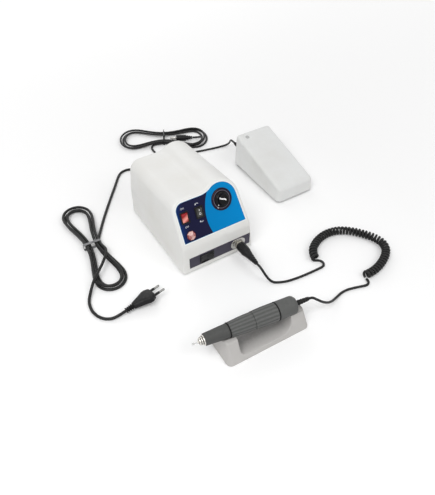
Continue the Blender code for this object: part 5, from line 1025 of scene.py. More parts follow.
class MICROMOTOR_OT_rockers(PieceOperator, bpy.types.Operator):
    """Build the power, direction and selector rockers"""
    bl_idname = "micromotor.rockers"
    bl_label = "Rockers"

    def build(self, sizes):
        rocker_switch("power", POWER, 15, 20, ROCKER_TILT, "rocker_red")
        reach = rocker_switch("direction", DIRECTION, 15, 20, ROCKER_TILT, "rocker_black")
        rocker_switch("selector", spun(SELECTOR, 90, "Z"), 18, 27, -ROCKER_TILT, "worn_black")
        ring = turned("mark_o", [(1.9, -0.09), (1.9, 0.09), (1.2, 0.09), (1.2, -0.09)], 32, closed=True)
        for name, mesh, x, y in (("i", block("mark_i", (0.95, 4, 0.12)), 0, 4), ("o", ring, 0.6, -2.6)):
            piece("direction_mark_" + name, mesh, on_rocker(shifted(DIRECTION, x), y, ROCKER_TILT, reach),
                  "direction_rocker", "mark_white")


class MICROMOTOR_OT_pilot_lamp(PieceOperator, bpy.types.Operator):
    """Build the faceted pilot lamp"""
    bl_idname = "micromotor.pilot_lamp"
    bl_label = "Pilot Lamp"

    def build(self, sizes):
        profile = [(0, -9), (4, -9), (4, 0.3), (8.1, 0.3), (8.2, 1.8), (6.4, 4.4), (2.6, 6.0), (0, 6.2)]
        piece("lamp_lens", turned("lamp", profile, 8), spun(LAMP, 15, "Z"), "set", "lamp_lens",
              ["pilot_lamp"], angle=5, bevel=0.12 * MM)


class MICROMOTOR_OT_motor_plug(PieceOperator, bpy.types.Operator):
    """Build the motor socket with its flange, and the plug in it"""
    bl_idname = "micromotor.motor_plug"
    bl_label = "Motor Socket and Plug"

    def build(self, sizes):
        flange = plate("flange", lambda inset: rounded_rectangle(
            29 * MM - 2 * inset, 20 * MM - 2 * inset, 9.6 * MM - inset, 12), GAP, 1.5 * MM, 0.4 * MM)
        piece("socket_flange", flange, SOCKET, "set", "nickel", cuts=[drill(7.8, -5, 5)])
        thread = [(0, -10), (7, -10), (7, 3.4), (8.7, 3.4)]
        for i in range(4):
            low = 3.3 - i * 0.5
            thread += [(9.15, low - 0.12), (8.75, low - 0.37)]
        thread += [(8.6, 1.3), (8.6, -14), (0, -14)]
        piece("socket_barrel", turned("barrel", thread), SOCKET, "set", "nickel", ["motor_socket"],
              angle=25)
        for name, side in (("left", -1), ("right", 1)):
            head = turned("screw", [(0, 1.4), (1.9, 1.4), (1.8, 2.1), (0, 2.5)], 32, 0.3)
            place = shifted(SOCKET, side * 11.8) @ Matrix.Rotation(0.4 * side, 4, "Z")
            piece("flange_screw_" + name, head, place, "set", "steel",
                  cuts=[block("slot", (3.2, 0.6, 1), (0, 0, 2.6))])
        collar = [(6.6, 3.7), (8.4, 3.7), (8.6, 4.2), (8.6, 5.4), (8.2, 5.7), (8.6, 6), (8.6, 7.2),
                  (8.2, 7.6), (6.6, 7.6)]
        piece("plug_collar", turned("collar", collar, closed=True), SOCKET, "set", "plug_collar",
              angle=25)
        body = [(0, -9), (6.5, -9), (6.5, 7.7), (7.9, 7.9), (8.6, 9), (8.7, 14), (8.7, 24), (8.2, 27),
                (7.1, 32), (6.2, 36.5), (5.7, 40)]
        count, step = sizes.relief_ribs, 18 / sizes.relief_ribs
        body += relief(count, 40, step, 5.6, -2.3 / count, 0.8,
                       [k * step for k in (0.15, 0.55, 0.65, 0.95)])
        body += [(3.2, 58), (0, 58)]

        def ribs(angle, height, radius):
            share = between(height / MM, 9, 26, 3, 4)
            return radius - share * 0.8 * MM * (1 - abs(math.cos(angle * 5)) ** 0.7)

        piece("plug_body", turned("plug", body, 144, 0.5, ribs), SOCKET, "set", "black_plastic",
              ["motor_plug"])


class MICROMOTOR_OT_rear_ports(PieceOperator, bpy.types.Operator):
    """Build the mains gland, the pedal socket and the feet"""
    bl_idname = "micromotor.rear_ports"
    bl_label = "Rear Ports and Feet"

    def build(self, sizes):
        gland = [(0, -7), (5, -7), (5, 0.3), (7, 0.3), (7, 2.3)]
        count, step = sizes.relief_ribs, 25.7 / sizes.relief_ribs
        gland += relief(count, 2.3, step, 5, -1.2 / count, 0.8,
                        [k * step for k in (0.12, 0.55, 0.65, 0.95)])
        gland += [(3.5, 28), (0, 28)]
        piece("mains_relief", turned("gland", gland, 48, 0.4), GLAND, "set", "black_rubber",
              ["mains_gland"])
        nut = arc((0, 0), 7.5, 0, 2 * math.pi, 6)[:-1]
        hexagon = loft("nut", [metres([(x * k, y * k, z) for x, y in nut])
                               for k, z in ((0.97, 0.3), (1, 0.6), (1, 2.1), (0.96, 2.5))])
        piece("socket_nut", hexagon, JACK, "set", "nickel", angle=20,
              cuts=[drill(5.3, -2, 5)])
        barrel = [(0, -17), (3.6, -17), (3.6, 2.6), (3.9, 3), (4.9, 3), (5.2, 2.7), (5.25, -1), (5.25, -24),
                  (0, -24)]
        piece("socket_jack", turned("jack", barrel, 48), JACK, "set", "nickel", ["pedal_socket"],
              angle=30)
        for name in ("front_foot", "rear_foot"):
            low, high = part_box(name)
            middle, size = (low + high) / 2, high - low
            levels = ((0.6 * MM, -size.z / 2), (0, -size.z / 2 + 0.6 * MM), (0, size.z / 2))
            mesh = loft(name, [[(x, y, z) for x, y in rounded_rectangle(
                size.x - 2 * inset, size.y - 2 * inset, 3 * MM)] for inset, z in levels])
            piece(name + "_pad", mesh, Matrix.Translation(middle), "set", "black_rubber", [name])


class MICROMOTOR_OT_inner_parts(PieceOperator, bpy.types.Operator):
    """Give the CAD pieces that keep their own shape their finishes"""
    bl_idname = "micromotor.inner_parts"
    bl_label = "Inner Parts"

    def build(self, sizes):
        kept = {"base_plate": "dark_metal", "speed_potentiometer": "steel", "transformer": "core_iron",
                "circuit_board": "board_green", "pedal_base": "dark_metal", "pedal_pivot_pin": "steel",
                "pedal_spring": "steel", "pedal_switch": "black_plastic", "motor_magnets": "magnet_grey",
                "front_bearing": "steel", "rear_bearing": "steel", "brush_upper": "carbon",
                "brush_lower": "carbon", "motor_spindle": "steel", "motor_armature": "copper"}
        for name, finish_name in kept.items():
            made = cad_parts[name]
            if not made.material_slots:
                raise RuntimeError(name + " has no material slot")
            for slot in made.material_slots:
                slot.material = FINISHES[finish_name]


def pedal_ring(inset, lift, rise=1.0):
    """A rounded outline of the pedal at a share of the way from its rim to its top plane."""
    width, length = PEDAL_WIDTH_MM * MM, PEDAL_LENGTH_MM * MM
    points = []
    for x, y in rounded_rectangle(width - 2 * inset, length - 2 * inset, max(9 * MM - inset, 3 * MM), 8):
        share = y / length + 0.5
        rim, top = (4.3 + 2.6 * share) * MM, (PEDAL_FRONT_MM + PEDAL_RISE_MM * share) * MM
        points.append((x + width / 2, y + length / 2, rim + (top - rim) * rise + lift))
    return points


class MICROMOTOR_OT_pedal(PieceOperator, bpy.types.Operator):
    """Build the foot pedal's cover and cable boot"""
    bl_idname = "micromotor.pedal"
    bl_label = "Foot Pedal"

    def build(self, sizes):
        crown = sizes.pedal_round
        rings = [pedal_ring(0.5 * MM, 0, 0), pedal_ring(0, 0.6 * MM, 0), pedal_ring(0.2 * MM, 0, 0.12),
                 pedal_ring(1.2 * MM, -crown, 0.7)]
        for i in range(9):
            angle = QUARTER * i / 8
            rings.append(pedal_ring(2 * MM + crown * (1 - math.cos(angle)), -crown * (1 - math.sin(angle))))
        rings.append(pedal_ring(2 * MM + crown + 14 * MM, 0.0))
        low = [(x, y, -4 * MM) for x, y, z in pedal_ring(2.5 * MM, 0, 0)]
        hollow = loft("hollow", [low, pedal_ring(4.5 * MM, -2.5 * MM)])
        dish = [(0, -0.7), (7.4, -0.7), (8.6, -0.35), (9, 0.02), (9.05, 3), (0, 3)]
        dimple = moved(turned("dimple", dish), PEDAL.inverted() @ DIMPLE)
        slot = loft("slot", [[(x + 11 * MM, y * MM, z + 44.25 * MM) for x, z in rounded_rectangle(
            10.8 * MM, 17.3 * MM, 5.3 * MM)] for y in (150, 165)])
        piece("pedal_top", loft("pedal", rings), PEDAL, "pedal_cover", "pedal_plastic", ["pedal_cover"],
              cuts=[hollow, dimple, slot])
        # The grey disc stands for the grey spot of the pedal's mark and is also painted shade that deepens
        # the dimple.
        disc = [(0, -1), (4.2, -1), (4.2, -0.55), (3.9, -0.4), (0, -0.35)]
        piece("dimple_disc", turned("disc", disc, 48), DIMPLE, "pedal_cover", "disc_grey")
        pivot = spun(shifted(PEDAL, 43, 15, 13), 90, "Y")
        for name, side in (("left", -1), ("right", 1)):
            boss = [(2.3, side * 33.2), (5.4, side * 33.2), (5.6, side * 40.5), (2.3, side * 40.5)]
            piece("pivot_boss_" + name, turned("boss", boss, 32, closed=True), pivot, "pedal_cover",
                  "pedal_plastic")
        pusher = block("pusher", (6, 6, 36), (43, 118, 42.3))
        piece("switch_pusher", pusher, PEDAL, "pedal_cover", "pedal_plastic",
              bevel=0.4 * MM)
        boot = [(0, -1.5), (3, -1.5), (3, 3.3), (5.4, 3.3), (5.4, 4.8), (4.6, 5)]
        boot += [*relief(4, 5, 4.3, 4.55, -0.3, 0.65), (3.1, 22), (0, 22)]
        piece("pedal_boot", turned("boot", boot, 48, 0.4), spun(shifted(PEDAL, 11, 149, 41), -90, "X"),
              "set", "black_rubber", ["pedal_cable_boot"])


class MICROMOTOR_OT_handpiece(PieceOperator, bpy.types.Operator):
    """Build the handpiece's cap, rings, grips, sleeve, nose, collet, bur and boot"""
    bl_idname = "micromotor.handpiece"
    bl_label = "Handpiece"

    def build(self, sizes):
        def part(name, points, finish_name, nodes, body="handpiece", sides=96, soft=0.6, ribs=None,
                 closed=True):
            mesh = turned(name, points, sides, soft, ribs, closed)
            piece(name, mesh, HANDPIECE, body, finish_name, nodes)

        cap = [(11.8, 32), (11.8, 31.9), (14.2, 32), (14.7, 31.4), (14.6, 20), (14.5, 7)]
        cap += arc((8.5, 6), 6, 0, -QUARTER, 8)[1:]
        cap += [(4.2, 0), (3.6, 0.5), (3.6, 6), (11.8, 6)]
        part("rear_cap", cap, "grip_rubber", ["handpiece_rear_cap"])
        part("rear_ring", [(10.4, 32.2), (14.8, 32.2), (14.9, 33.5), (10.4, 33.5)], "ring_rubber",
             ["handpiece_rear_ring"], soft=0.4)

        def flutes(low, high):
            def ribs(angle, height, radius):
                if radius < 10.9 * MM:
                    return radius
                wave = 0.5 + 0.5 * math.cos(angle * sizes.flutes)
                return radius - between(height / MM, low, high, 1.5, 1.5) * sizes.flute_depth * (1 - wave)
            return ribs

        def grip(low, high, first, last, swell):
            steps = [(first + (last - first) * i / 14 + swell * math.sin(math.pi * i / 14),
                      low + (high - low) * i / 14) for i in range(1, 14)]
            return [(10.4, low), (first - 0.5, low), (first, low + 0.9), *steps, (last, high - 0.9),
                    (last - 0.5, high), (10.4, high)]

        part("rear_grip", grip(33.7, 72, 14.6, 14.1, 0.6), "fluted_rubber", ["handpiece_rear_grip"],
             sides=240, soft=0.4, ribs=flutes(38, 70))
        part("front_grip", grip(72.3, 111, 13.7, 11.65, 0.5), "fluted_rubber", ["handpiece_front_grip"],
             sides=240, soft=0.4, ribs=flutes(73.5, 109))
        part("front_ring", [(4, 111.2), (11.9, 111.2), (11.95, 112.5), (4, 112.5)], "ring_rubber",
             ["handpiece_front_ring"], soft=0.4)
        sleeve = [(7, 112.7), (10.7, 112.7), (11.1, 113.3), (10.8, 120), (10.2, 132), (9.6, 143),
                  (9.45, 146), (9.3, 149.5), (9.0, 150), (7, 150)]
        part("turning_sleeve", sleeve, "sleeve_rubber", ["chuck_sleeve"], "chuck_sleeve",
             soft=0.3)
        nose = [(3.7, 112.7), (6.6, 112.7), (6.6, 150.1), (8.3, 150.2), (8.4, 151.6), (8.1, 152.2),
                (5.9, 152.3), (5.9, 153), (6.7, 153.1), (6.7, 154.6), (6.4, 155), (5.2, 155.1),
                (5.2, 155.8), (5.9, 155.9), (5.7, 157), (5.2, 158), (3.7, 158)]
        part("bright_nose", nose, "chrome", ["handpiece_nose"], soft=0.25)
        for k, (radius, low, high) in enumerate(((6.3, 152.4, 152.9), (5.6, 155.2, 155.7))):
            part(f"nose_gap_{k + 1}", [(4.6, low), (radius, low), (radius, high), (4.6, high)],
                 "black_rubber", (), soft=0.1)
        jaws = [(1.5, 130), (2.3, 130), (2.3, 158.2), (2.1, 159.6), (1.9, 160), (1.5, 160)]
        part("collet_jaws", jaws, "chrome", ["collet"], "spindle", sides=48, soft=0.2)
        bur = [(0, 126), (1.2, 126), (1.2, 160.5), (0.85, 161.5), (0.8, 164.6), (1.3, 165.1), (1.5, 166),
               (1.45, 167.4), (1.0, 168.6), (0.4, 168.95), (0, 169)]

        def teeth(angle, height, radius):
            z = height / MM
            groove = 0.22 * MM * (1 - abs(math.cos(angle * 4 + (z - 165) * 0.5)))
            return radius - clamped((z - 164.9) / 0.4) * groove

        part("bur_tool", bur, "steel", ["bur"], "spindle", sides=48, soft=0.15, ribs=teeth,
             closed=False)
        boot = [(0, 5), (3.3, 5), (3.3, -0.3), (4.4, -0.4)]
        boot += relief(5, -0.4, -4.6, 4.4, -0.22, 0.55, (-0.4, -2.6, -3, -4.3))
        boot += [(3.1, -23.6), (3.0, -24), (0, -24)]
        part("cord_boot", boot, "black_rubber", ["handpiece_boot"], sides=48, soft=0.3,
             closed=False)


class MICROMOTOR_OT_rest(PieceOperator, bpy.types.Operator):
    """Build the handpiece rest with its two saddles and soft edges"""
    bl_idname = "micromotor.rest"
    bl_label = "Rest"

    def build(self, sizes):
        def ring(length, width, radius, height):
            return [(x, y, height * MM) for x, y in rounded_rectangle(length * MM, width * MM, radius * MM)]

        rings = [ring(146, 57, 9, 0), ring(146, 57, 9, 2.6), ring(145, 54.4, 9, 4)]
        for i in range(1, 8):
            t = i / 8
            rings.append(ring(145 - 9 * t, 54.4 - 27.4 * t, 9 - 4 * t, 4 + 30 * t))
        rings += [ring(136, 27, 5, 34), ring(134.6, 25.6, 4.5, 35.5), ring(131, 22, 3.5, 36)]
        front = arc((-39 * MM, 18 * MM), 10 * MM, math.pi, 1.5 * math.pi, 8)
        rear = arc((23 * MM, 28 * MM), 20 * MM, -QUARTER, 0, 12)
        outline = [(-49 * MM, 40 * MM)] + front + rear + [(43 * MM, 40 * MM)]
        scoop = loft("scoop", [[(x, y * MM, z) for x, z in outline] for y in (33, -33)])
        under = loft("under", [ring(138, 49, 10, z) for z in (-4, 3)])
        trough = [(0, 160), (11.4, 160), (12, 111), (15.1, 32), (15.1, -12), (0, -12)]
        made = piece("rest", loft("rest", rings), REST, "set", "rest_rubber", ["handpiece_rest"],
                     cuts=[scoop, under, moved(turned("channel", trough, 96),
                                                            REST.inverted() @ HANDPIECE)])
        remesh = made.modifiers.new("even", "REMESH")
        remesh.mode, remesh.voxel_size = "VOXEL", sizes.rest_voxel
        calm = made.modifiers.new("soften", "SMOOTH")
        calm.factor, calm.iterations = 0.5, 6
        bpy.context.view_layer.update()
        settle(made, 60)


def smooth_route(points, spacing):
    """Points at an even spacing along one smooth curve through the route's own points."""
    knots = np.array(points, float)
    chords = np.sqrt(np.linalg.norm(np.diff(knots, axis=0), axis=1))
    places = np.concatenate([[0], np.cumsum(chords)])
    slopes = np.gradient(knots, places, axis=0)
    dense = []
    for i in range(len(knots) - 1):
        span = places[i + 1] - places[i]
        for s in np.linspace(0, 1, 24, endpoint=False):
            blend = 3 * s ** 2 - 2 * s ** 3
            lean = (s ** 3 - 2 * s ** 2 + s) * slopes[i] + (s ** 3 - s ** 2) * slopes[i + 1]
            dense.append((1 - blend) * knots[i] + blend * knots[i + 1] + lean * span)
    return evenly(np.array(dense + [knots[-1]]), spacing)


def evenly(path, spacing):
    """The same line with points at an even spacing."""
    lengths = np.concatenate([[0], np.cumsum(np.linalg.norm(np.diff(path, axis=0), axis=1))])
    even = np.linspace(0, lengths[-1], max(int(round(lengths[-1] / spacing)), 2) + 1)
    return np.array([np.interp(even, lengths, path[:, k]) for k in range(3)]).T


def length_of(points):
    """How long a line of points is."""
    return float(np.linalg.norm(np.diff(np.array(points), axis=0), axis=1).sum())


def lead_route(route, diameter, spacing=2.5 * MM):
    """A smooth stretch of lead that stays above the table."""
    points = smooth_route(metres(route), spacing)
    points[:, 2] = np.maximum(points[:, 2], diameter / 2)
    return points


def curly_points():
    """The curls, wound round a smooth route and resting on the table."""
    centre = smooth_route([(x * MM, y * MM, CURL_RADIUS + MOTOR_LEAD / 2) for x, y in CURLY_MM], MM)
    total = length_of(centre)
    count = int(total / CURL_PITCH) * CURL_POINTS
    places = np.linspace(0, total, len(centre))
    headings = np.gradient(centre, axis=0)
    points = []
    for i in range(count + 1):
        here = total * i / count
        middle = np.array([np.interp(here, places, centre[:, k]) for k in range(3)])
        ahead = np.array([np.interp(here, places, headings[:, k]) for k in range(3)])
        ahead /= np.linalg.norm(ahead)
        angle = -QUARTER - 2 * math.pi * i / CURL_POINTS
        across = np.array([ahead[1], -ahead[0], 0])
        outward = math.cos(angle) * across + math.sin(angle) * np.array([0, 0, 1])
        points.append(middle + CURL_RADIUS * outward)
    return np.array(points)


def hank_points(diameter, centre, turn, half, spread, waist_share, fan_share, direction, start):
    """A tied hank in two layers: it spirals in, climbs a layer at the reversal, and spirals out."""
    pitch = diameter + LOOP_CLEARANCE
    axis = np.array([math.cos(turn), math.sin(turn)])
    across = np.array([-axis[1], axis[0]])

    def at(t):
        side, end = math.sin(t), math.cos(t)
        return np.array([half * end * (1 + BLUNT_SHARE - BLUNT_SHARE * end ** 2),
                         spread * side * (1 - waist_share * side ** 4)])

    points = []
    for i in range(LOOP_COUNT * LOOP_POINTS + 1):
        turns = i / LOOP_POINTS
        phase = start + direction * 2 * math.pi * turns
        forward = at(phase + 1e-3) - at(phase - 1e-3)
        forward /= np.linalg.norm(forward)
        fan = 1 + fan_share * math.cos(phase) ** 2
        base = at(phase) + np.array([forward[1], -forward[0]]) * abs(LOOP_COUNT / 2 - turns) * pitch * fan
        climb = clamped(2 * (turns - LOOP_COUNT / 2) + 0.5)
        climb = climb * climb * (3 - 2 * climb)
        place = np.array(centre) + axis * base[0] + across * base[1]
        points.append((*place, diameter / 2 + climb * pitch + TIE_LIFT * math.sin(phase) ** 8))
    return np.array(points)


def in_world(points):
    """Points of the box's own frame in the world."""
    return [tuple(BOX @ Vector(p)) for p in points]


def lead_curve(name, points, diameter):
    """A lead as one open spline with a round section."""
    curve = bpy.data.curves.new(name, "CURVE")
    curve.dimensions, curve.bevel_depth, curve.bevel_resolution = "3D", diameter / 2, 5
    curve.use_fill_caps = True
    spline = curve.splines.new("POLY")
    spline.points.add(len(points) - 1)
    for target, point in zip(spline.points, in_world(points)):
        target.co = (*point, 1)
    curve.materials.append(FINISHES["lead_cover"])
    made = placed(name, curve)
    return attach(made, "set")


def tie_band(name, hank, diameter, width, thick, finish_name, node_name):
    """A flat band round a hank's waist; returns its frame and the height of its top."""
    pitch = diameter + LOOP_CLEARANCE
    half = hank["spread"] * (1 - hank["waist_share"]) + LOOP_COUNT / 2 * pitch + diameter / 2 + GAP
    high = TIE_LIFT + diameter + pitch + GAP
    low = thick + 0.05 * MM
    rings = []
    for x, grow in ((-width / 2, 0), (-width / 2, thick * 0.8), (-width / 2 + 0.2 * MM, thick),
                    (width / 2 - 0.2 * MM, thick), (width / 2, thick * 0.8), (width / 2, 0)):
        outline = rounded_rectangle(2 * (half + grow), high - low + 2 * grow, diameter / 2 + grow, 8)
        rings.append([(x, s, (low + high) / 2 + z) for s, z in outline])
    place = BOX @ Matrix.Translation((*hank["centre"], 0)) @ Matrix.Rotation(hank["turn"], 4, "Z")
    piece(name, looped(name, rings), place, "set", finish_name, [node_name])
    return place, high


class MICROMOTOR_OT_leads(PieceOperator, bpy.types.Operator):
    """Build the three leads with their curls, hanks and ties"""
    bl_idname = "micromotor.leads"
    bl_label = "Leads"

    def build(self, sizes):
        front = lead_route(MOTOR_FRONT_MM, MOTOR_LEAD)
        path = evenly(np.concatenate([front, curly_points()]), 1.6 * MM)
        motor = lead_curve("motor_lead", path, MOTOR_LEAD)
        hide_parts("motor_lead_front", "motor_lead_curly")
        rear = lead_route(MOTOR_REAR_MM, MOTOR_LEAD, 1.5 * MM)
        tail = placed("handpiece_lead", tube("handpiece_lead", in_world(rear), MOTOR_LEAD / 2))
        tail.data.materials.append(FINISHES["lead_cover"])
        settle(tail)
        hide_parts("motor_lead_rear")
        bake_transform(tail)

        path = np.concatenate([lead_route(MAINS_BOX_MM, MAINS_LEAD), hank_points(MAINS_LEAD, **MAINS_HANK),
                               lead_route(MAINS_PLUG_MM, MAINS_LEAD)])
        mains = lead_curve("mains_lead", path, MAINS_LEAD)
        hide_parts("mains_lead_box", "mains_lead_hank", "mains_lead_plug_end")
        place, high = tie_band("mains_tie", MAINS_HANK, MAINS_LEAD, 5 * MM, 0.7 * MM, "tie_grey",
                               "mains_lead_tie")
        self.tail("mains_tie_tail", place, high, [(0, 0, 0), (1, 2, 2.2), (0, 5, 3.4), (-2, 8, 3.0)], 0.8)

        path = np.concatenate([lead_route(PEDAL_FIRST_MM, PEDAL_LEAD),
                               hank_points(PEDAL_LEAD, **PEDAL_HANK),
                               lead_route(PEDAL_LAST_MM, PEDAL_LEAD)])
        pedal = lead_curve("pedal_lead", path, PEDAL_LEAD)
        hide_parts("pedal_lead_pedal", "pedal_lead_hank", "pedal_lead_plug_end")
        place, high = tie_band("pedal_tie", PEDAL_HANK, PEDAL_LEAD, 3 * MM, 0.6 * MM, "black_rubber",
                               "pedal_lead_tie")
        self.tail("pedal_tie_tail", place, high, [(0, 0, 0), (0.6, 1.5, 4), (-0.5, 4, 8), (1, 9, 11)], 0.7)

    def tail(self, name, place, high, points, radius):
        """The free end of a tie, standing off the band."""
        path = smooth_route([(x * MM, y * MM, high + z * MM) for x, y, z in points], 0.5 * MM)
        piece(name, tube(name, path, radius * MM, 10), place, "set", "tie_grey")


class MICROMOTOR_OT_mains_plug(PieceOperator, bpy.types.Operator):
    """Build the flat two-pin mains plug"""
    bl_idname = "micromotor.mains_plug"
    bl_label = "Mains Plug"

    def build(self, sizes):
        places = [0, 14, 18, 30, 38, 43, 50]
        widths = [10, 12, 15, 24, 34, 35, 26]
        thicks = [9, 10.5, 11, 13, 13.7, 13.7, 13]
        rings = []
        for x in [i * 0.5 for i in range(100)] + [49.7, 50]:
            width, thick = np.interp(x, places, widths), np.interp(x, places, thicks)
            if x < 15:
                notch = 0.5 - 0.5 * math.cos(2 * math.pi * clamped((x - 1) / 13) * sizes.relief_ribs)
                width, thick = width - 3.4 * notch ** 0.7, thick - 3.4 * notch ** 0.7
            if x > 49:
                width, thick = width - (x - 49) * 1.4, thick - (x - 49) * 1.4
            power = np.interp(x, [0, 14, 24], [0.95, 0.85, 0.62])
            ring = [(x, math.copysign(abs(side) ** power, side) * width / 2,
                     math.copysign(abs(up) ** power, up) * thick / 2)
                    for side, up in arc((0, 0), 1, 0, 2 * math.pi, 64)[:-1]]
            rings.append(metres(ring))
        piece("mains_plug_body", moved(loft("plug", rings), in_box(MAINS_PLUG)), BOX, "set",
              "black_plastic", ["mains_plug"], angle=50)
        for side, name in ((1, "left"), (-1, "right")):
            place = spun(shifted(MAINS_PLUG, 44, side * 9.3), 90, "Y")
            pin = turned("pin", [(0, 5.5), (1.9, 5.5), (1.9, 23.6), (1.1, 25), (0, 25)], 32, 0.6)
            piece("plug_pin_" + name, pin, place, "set", "pin_metal", ["mains_pin_" + name])
            sleeve = turned("sleeve", [(1.92, 5.6), (2.2, 5.6), (2.2, 14.4), (2.1, 14.8), (1.92, 14.8)], 32,
                            closed=True)
            piece("pin_sleeve_" + name, sleeve, place, "set", "black_plastic")


class MICROMOTOR_OT_pedal_plug(PieceOperator, bpy.types.Operator):
    """Build the pedal lead's free plug"""
    bl_idname = "micromotor.pedal_plug"
    bl_label = "Pedal Plug"

    def build(self, sizes):
        body = [(0, 0), (3.1, 0), *relief(3, 0, 4.6, 3.4, 0.8, 0.4, (0.4, 2.4, 2.9, 4.2)), (5.6, 14),
                (6.5, 14.4), (6.5, 35.6), (6.1, 36), (0, 36)]

        def ribs(angle, height, radius):
            share = between(height / MM, 16, 34, 2, 2)
            return radius - share * 0.35 * MM * (1 - abs(math.cos(angle * 12)))

        piece("pedal_plug_body", turned("body", body, 144, 0.4, ribs), PEDAL_PLUG, "set", "black_plastic",
              ["pedal_plug"])
        tip = [(0, 35.8), (3.2, 35.8), (3.2, 42.2), (3.05, 42.3), (3.05, 42.9), (3.2, 43), (3.2, 46.4),
               (2.3, 47), (2.2, 47.6), (2.7, 48.2), (1.6, 49.8), (0, 50)]
        piece("pedal_plug_tip", turned("tip", tip, 48, 0.2), PEDAL_PLUG, "set", "nickel")


class MICROMOTOR_OT_stage(PieceOperator, bpy.types.Operator):
    """Build the floor, the lights, the world and the camera"""
    bl_idname = "micromotor.stage"
    bl_label = "Stage"

    def build(self, sizes):
        scene = bpy.context.scene
        lens = bpy.data.cameras.new("camera")
        lens.sensor_width, lens.lens, lens.shift_y = SENSOR_WIDTH_MM, LENS_MM, LENS_SHIFT
        lens.clip_start, lens.clip_end = 0.01, 50
        camera = placed("camera", lens)
        self.aim(camera, CAMERA_PLACE, CAMERA_AIM)
        scene.camera = camera

        tree, shade = shader("floor")
        cloud = node(tree, "ShaderNodeTexNoise", {"Scale": 3.0, "Detail": 3.0}).outputs[0]
        white = colours().floor
        away = node(tree, "ShaderNodeVectorMath", {0: own_place(tree)}, operation="LENGTH").outputs["Value"]
        paler = times(tree, scaled(tree, away, 0.35, 1.6, 0.05, 0.3), seen_directly(tree))
        set_shade(tree, shade, {"Base Color": mix(tree, cloud, toned(white, 0.995), toned(white, 1.0)),
                                "Emission Color": mix(tree, paler, (0, 0, 0, 1), (1, 1, 1, 1)),
                                "Emission Strength": 1, "Roughness": 0.85, "Specular IOR Level": 0.1})
        corners = [(x * FLOOR_REACH, y * FLOOR_REACH, 0) for x, y in ((-1, -1), (1, -1), (1, 1), (-1, 1))]
        floor = placed("floor", mesh_from("floor", corners, [(0, 1, 2, 3)]))
        floor.data.materials.append(FINISHES["floor"])
        floor.location.z = -FLOOR_DROP

        world = bpy.data.worlds.new("studio")
        scene.world = world
        world.use_nodes = True
        tree = world.node_tree
        strength = scaled(tree, seen_directly(tree), 0.0, 1.0, sizes.sky_light, 1.0)
        set_shade(tree, tree.nodes["Background"], {"Strength": strength, "Color": (1, 1, 1, 1)})
        middle = BOX @ Vector((0.12, 0.05, 0.05))
        for name, place, size, power in (("key", (-0.9, -0.5, 1.5), 1.0, sizes.key_light),
                                         ("fill", (0.7, -1.3, 1.7), 1.2, sizes.fill_light),
                                         ("back", (0.2, 1.6, 1.3), 1.4, sizes.back_light)):
            lamp = bpy.data.lights.new(name, "AREA")
            lamp.shape, lamp.size, lamp.energy = "DISK", size, power
            self.aim(placed(name, lamp), Vector(place), middle - Vector(place))
        scene.view_settings.view_transform = "Standard"

    def aim(self, made, place, ahead):
        """Put a camera or light in its place, looking along a direction."""
        made.location, made.rotation_mode = place, "QUATERNION"
        made.rotation_quaternion = ahead.to_track_quat("-Z", "Y")


OPERATORS = (
    MICROMOTOR_OT_stage, MICROMOTOR_OT_case, MICROMOTOR_OT_panels, MICROMOTOR_OT_speed_knob,
    MICROMOTOR_OT_rockers, MICROMOTOR_OT_pilot_lamp, MICROMOTOR_OT_motor_plug, MICROMOTOR_OT_rear_ports,
    MICROMOTOR_OT_inner_parts, MICROMOTOR_OT_pedal, MICROMOTOR_OT_handpiece, MICROMOTOR_OT_rest,
    MICROMOTOR_OT_mains_plug, MICROMOTOR_OT_pedal_plug, MICROMOTOR_OT_leads)


def colour_property(name, description, value):
    """A colour in the sidebar."""
    return FloatVectorProperty(name=name, description=description, subtype="COLOR", size=3, min=0, max=1,
                               default=value)


def length_property(name, description, value, low, high):
    """A length in the sidebar."""
    return FloatProperty(name=name, description=description, default=value, min=low, max=high,
                         subtype="DISTANCE", unit="LENGTH", precision=5)


def power_property(name, description, value):
    """A light's power in the sidebar."""
    return FloatProperty(name=name, description=description, default=value, min=0, unit="POWER")


class MicromotorColours(bpy.types.PropertyGroup):
    """Colours of the set's finishes"""
    case: colour_property("Case", "Painted case", (0.80, 0.80, 0.785))
    pedal: colour_property("Pedal", "Moulded pedal cover", (0.76, 0.77, 0.765))
    navy: colour_property("Panel Navy", "Dark field of the front panel", (0.012, 0.012, 0.042))
    navy_edge: colour_property("Panel Left Edge", "Left edge of the dark field", (0.006, 0.040, 0.19))
    blue: colour_property("Panel Blue", "Bright field of the front panel", (0.0005, 0.21, 0.52))
    border: colour_property("Panel Border", "Line round the front panel", (0.55, 0.76, 0.84))
    strip: colour_property("Lower Panel", "Lower panel", (0.055, 0.050, 0.075))
    rocker: colour_property("Power Rocker", "Red rocker", (0.62, 0.025, 0.030))
    lamp: colour_property("Pilot Lamp", "Lamp lens", (0.80, 0.05, 0.05))
    grip: colour_property("Grips", "Handpiece grips and cap", (0.098, 0.100, 0.097))
    rest: colour_property("Rest", "Handpiece rest", (0.50, 0.485, 0.47))
    lead: colour_property("Leads", "Cover of the leads", (0.013, 0.013, 0.013))
    floor: colour_property("Floor", "Table under the set", (0.97, 0.97, 0.97))


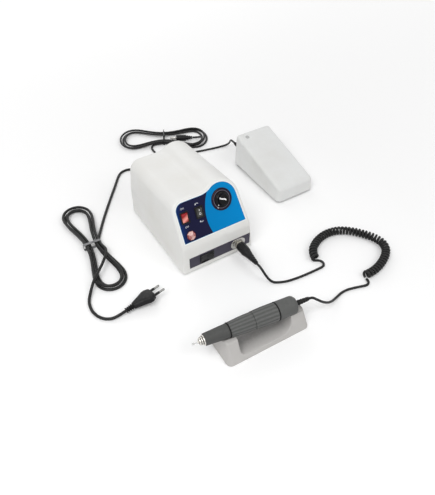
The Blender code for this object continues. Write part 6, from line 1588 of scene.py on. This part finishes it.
class MicromotorSizes(bpy.types.PropertyGroup):
    """Sizes of the set's fine shapes, and the lights' levels"""
    edge_round: length_property("Front Edge Round", "Round of the case's front edges", 4 * MM, MM, 5 * MM)
    nose_round: length_property("Nose Round", "Round of the ridge between panel and lower front", 22 * MM,
                                4 * MM, 40 * MM)
    border_width: length_property("Border Width", "Pale line round the panel", 0.5 * MM, 0.4 * MM, 3 * MM)
    knob_ribs: IntProperty(name="Knob Ribs", description="Ribs round the knob's grip", default=24, min=6,
                           max=60)
    rib_depth: length_property("Rib Depth", "Depth between the knob's ribs", 0.5 * MM, 0, MM)
    relief_ribs: IntProperty(name="Relief Ribs", description="Ribs of a strain relief", default=4, min=2,
                             max=8)
    flutes: IntProperty(name="Flutes", description="Flutes round each grip", default=15, min=8, max=40)
    flute_depth: length_property("Flute Depth", "Depth of the grips' flutes", 0.8 * MM, 0, MM)
    pedal_round: length_property("Pedal Round", "Round of the pedal's top edge", 6 * MM, 2 * MM, 8 * MM)
    rest_voxel: length_property("Rest Detail", "Grid of the rest's softened surface", 0.9 * MM, 0.5 * MM,
                                2 * MM)
    sky_light: FloatProperty(name="Sky Light", description="Strength of the world's light", default=0.5,
                             min=0)
    key_light: power_property("Key Light", "Power of the key light", 13)
    fill_light: power_property("Fill Light", "Power of the fill light", 8.5)
    back_light: power_property("Back Light", "Power of the back light", 5)


class MICROMOTOR_PT_sidebar(bpy.types.Panel):
    """Sizes, colours and building steps of the set"""
    bl_label = "Micromotor"
    bl_idname = "MICROMOTOR_PT_sidebar"
    bl_space_type = "VIEW_3D"
    bl_region_type = "UI"
    bl_category = "Micromotor"

    def draw(self, context):
        for settings in (context.scene.micromotor_sizes, context.scene.micromotor_colours):
            box = self.layout.box()
            for name in settings.__annotations__:
                box.prop(settings, name)
        for operator in OPERATORS:
            self.layout.operator(operator.bl_idname)


CLASSES = (MicromotorColours, MicromotorSizes, *OPERATORS, MICROMOTOR_PT_sidebar)


def register():
    for made in CLASSES:
        bpy.utils.register_class(made)
    bpy.types.Scene.micromotor_colours = PointerProperty(type=MicromotorColours)
    bpy.types.Scene.micromotor_sizes = PointerProperty(type=MicromotorSizes)


def unregister():
    del bpy.types.Scene.micromotor_sizes
    del bpy.types.Scene.micromotor_colours
    for made in reversed(CLASSES):
        bpy.utils.unregister_class(made)


def main():
    register()
    make_finishes()
    for operator in OPERATORS:
        group, name = operator.bl_idname.split(".")
        getattr(getattr(bpy.ops, group), name)()


if __name__ == "__main__":
    main()
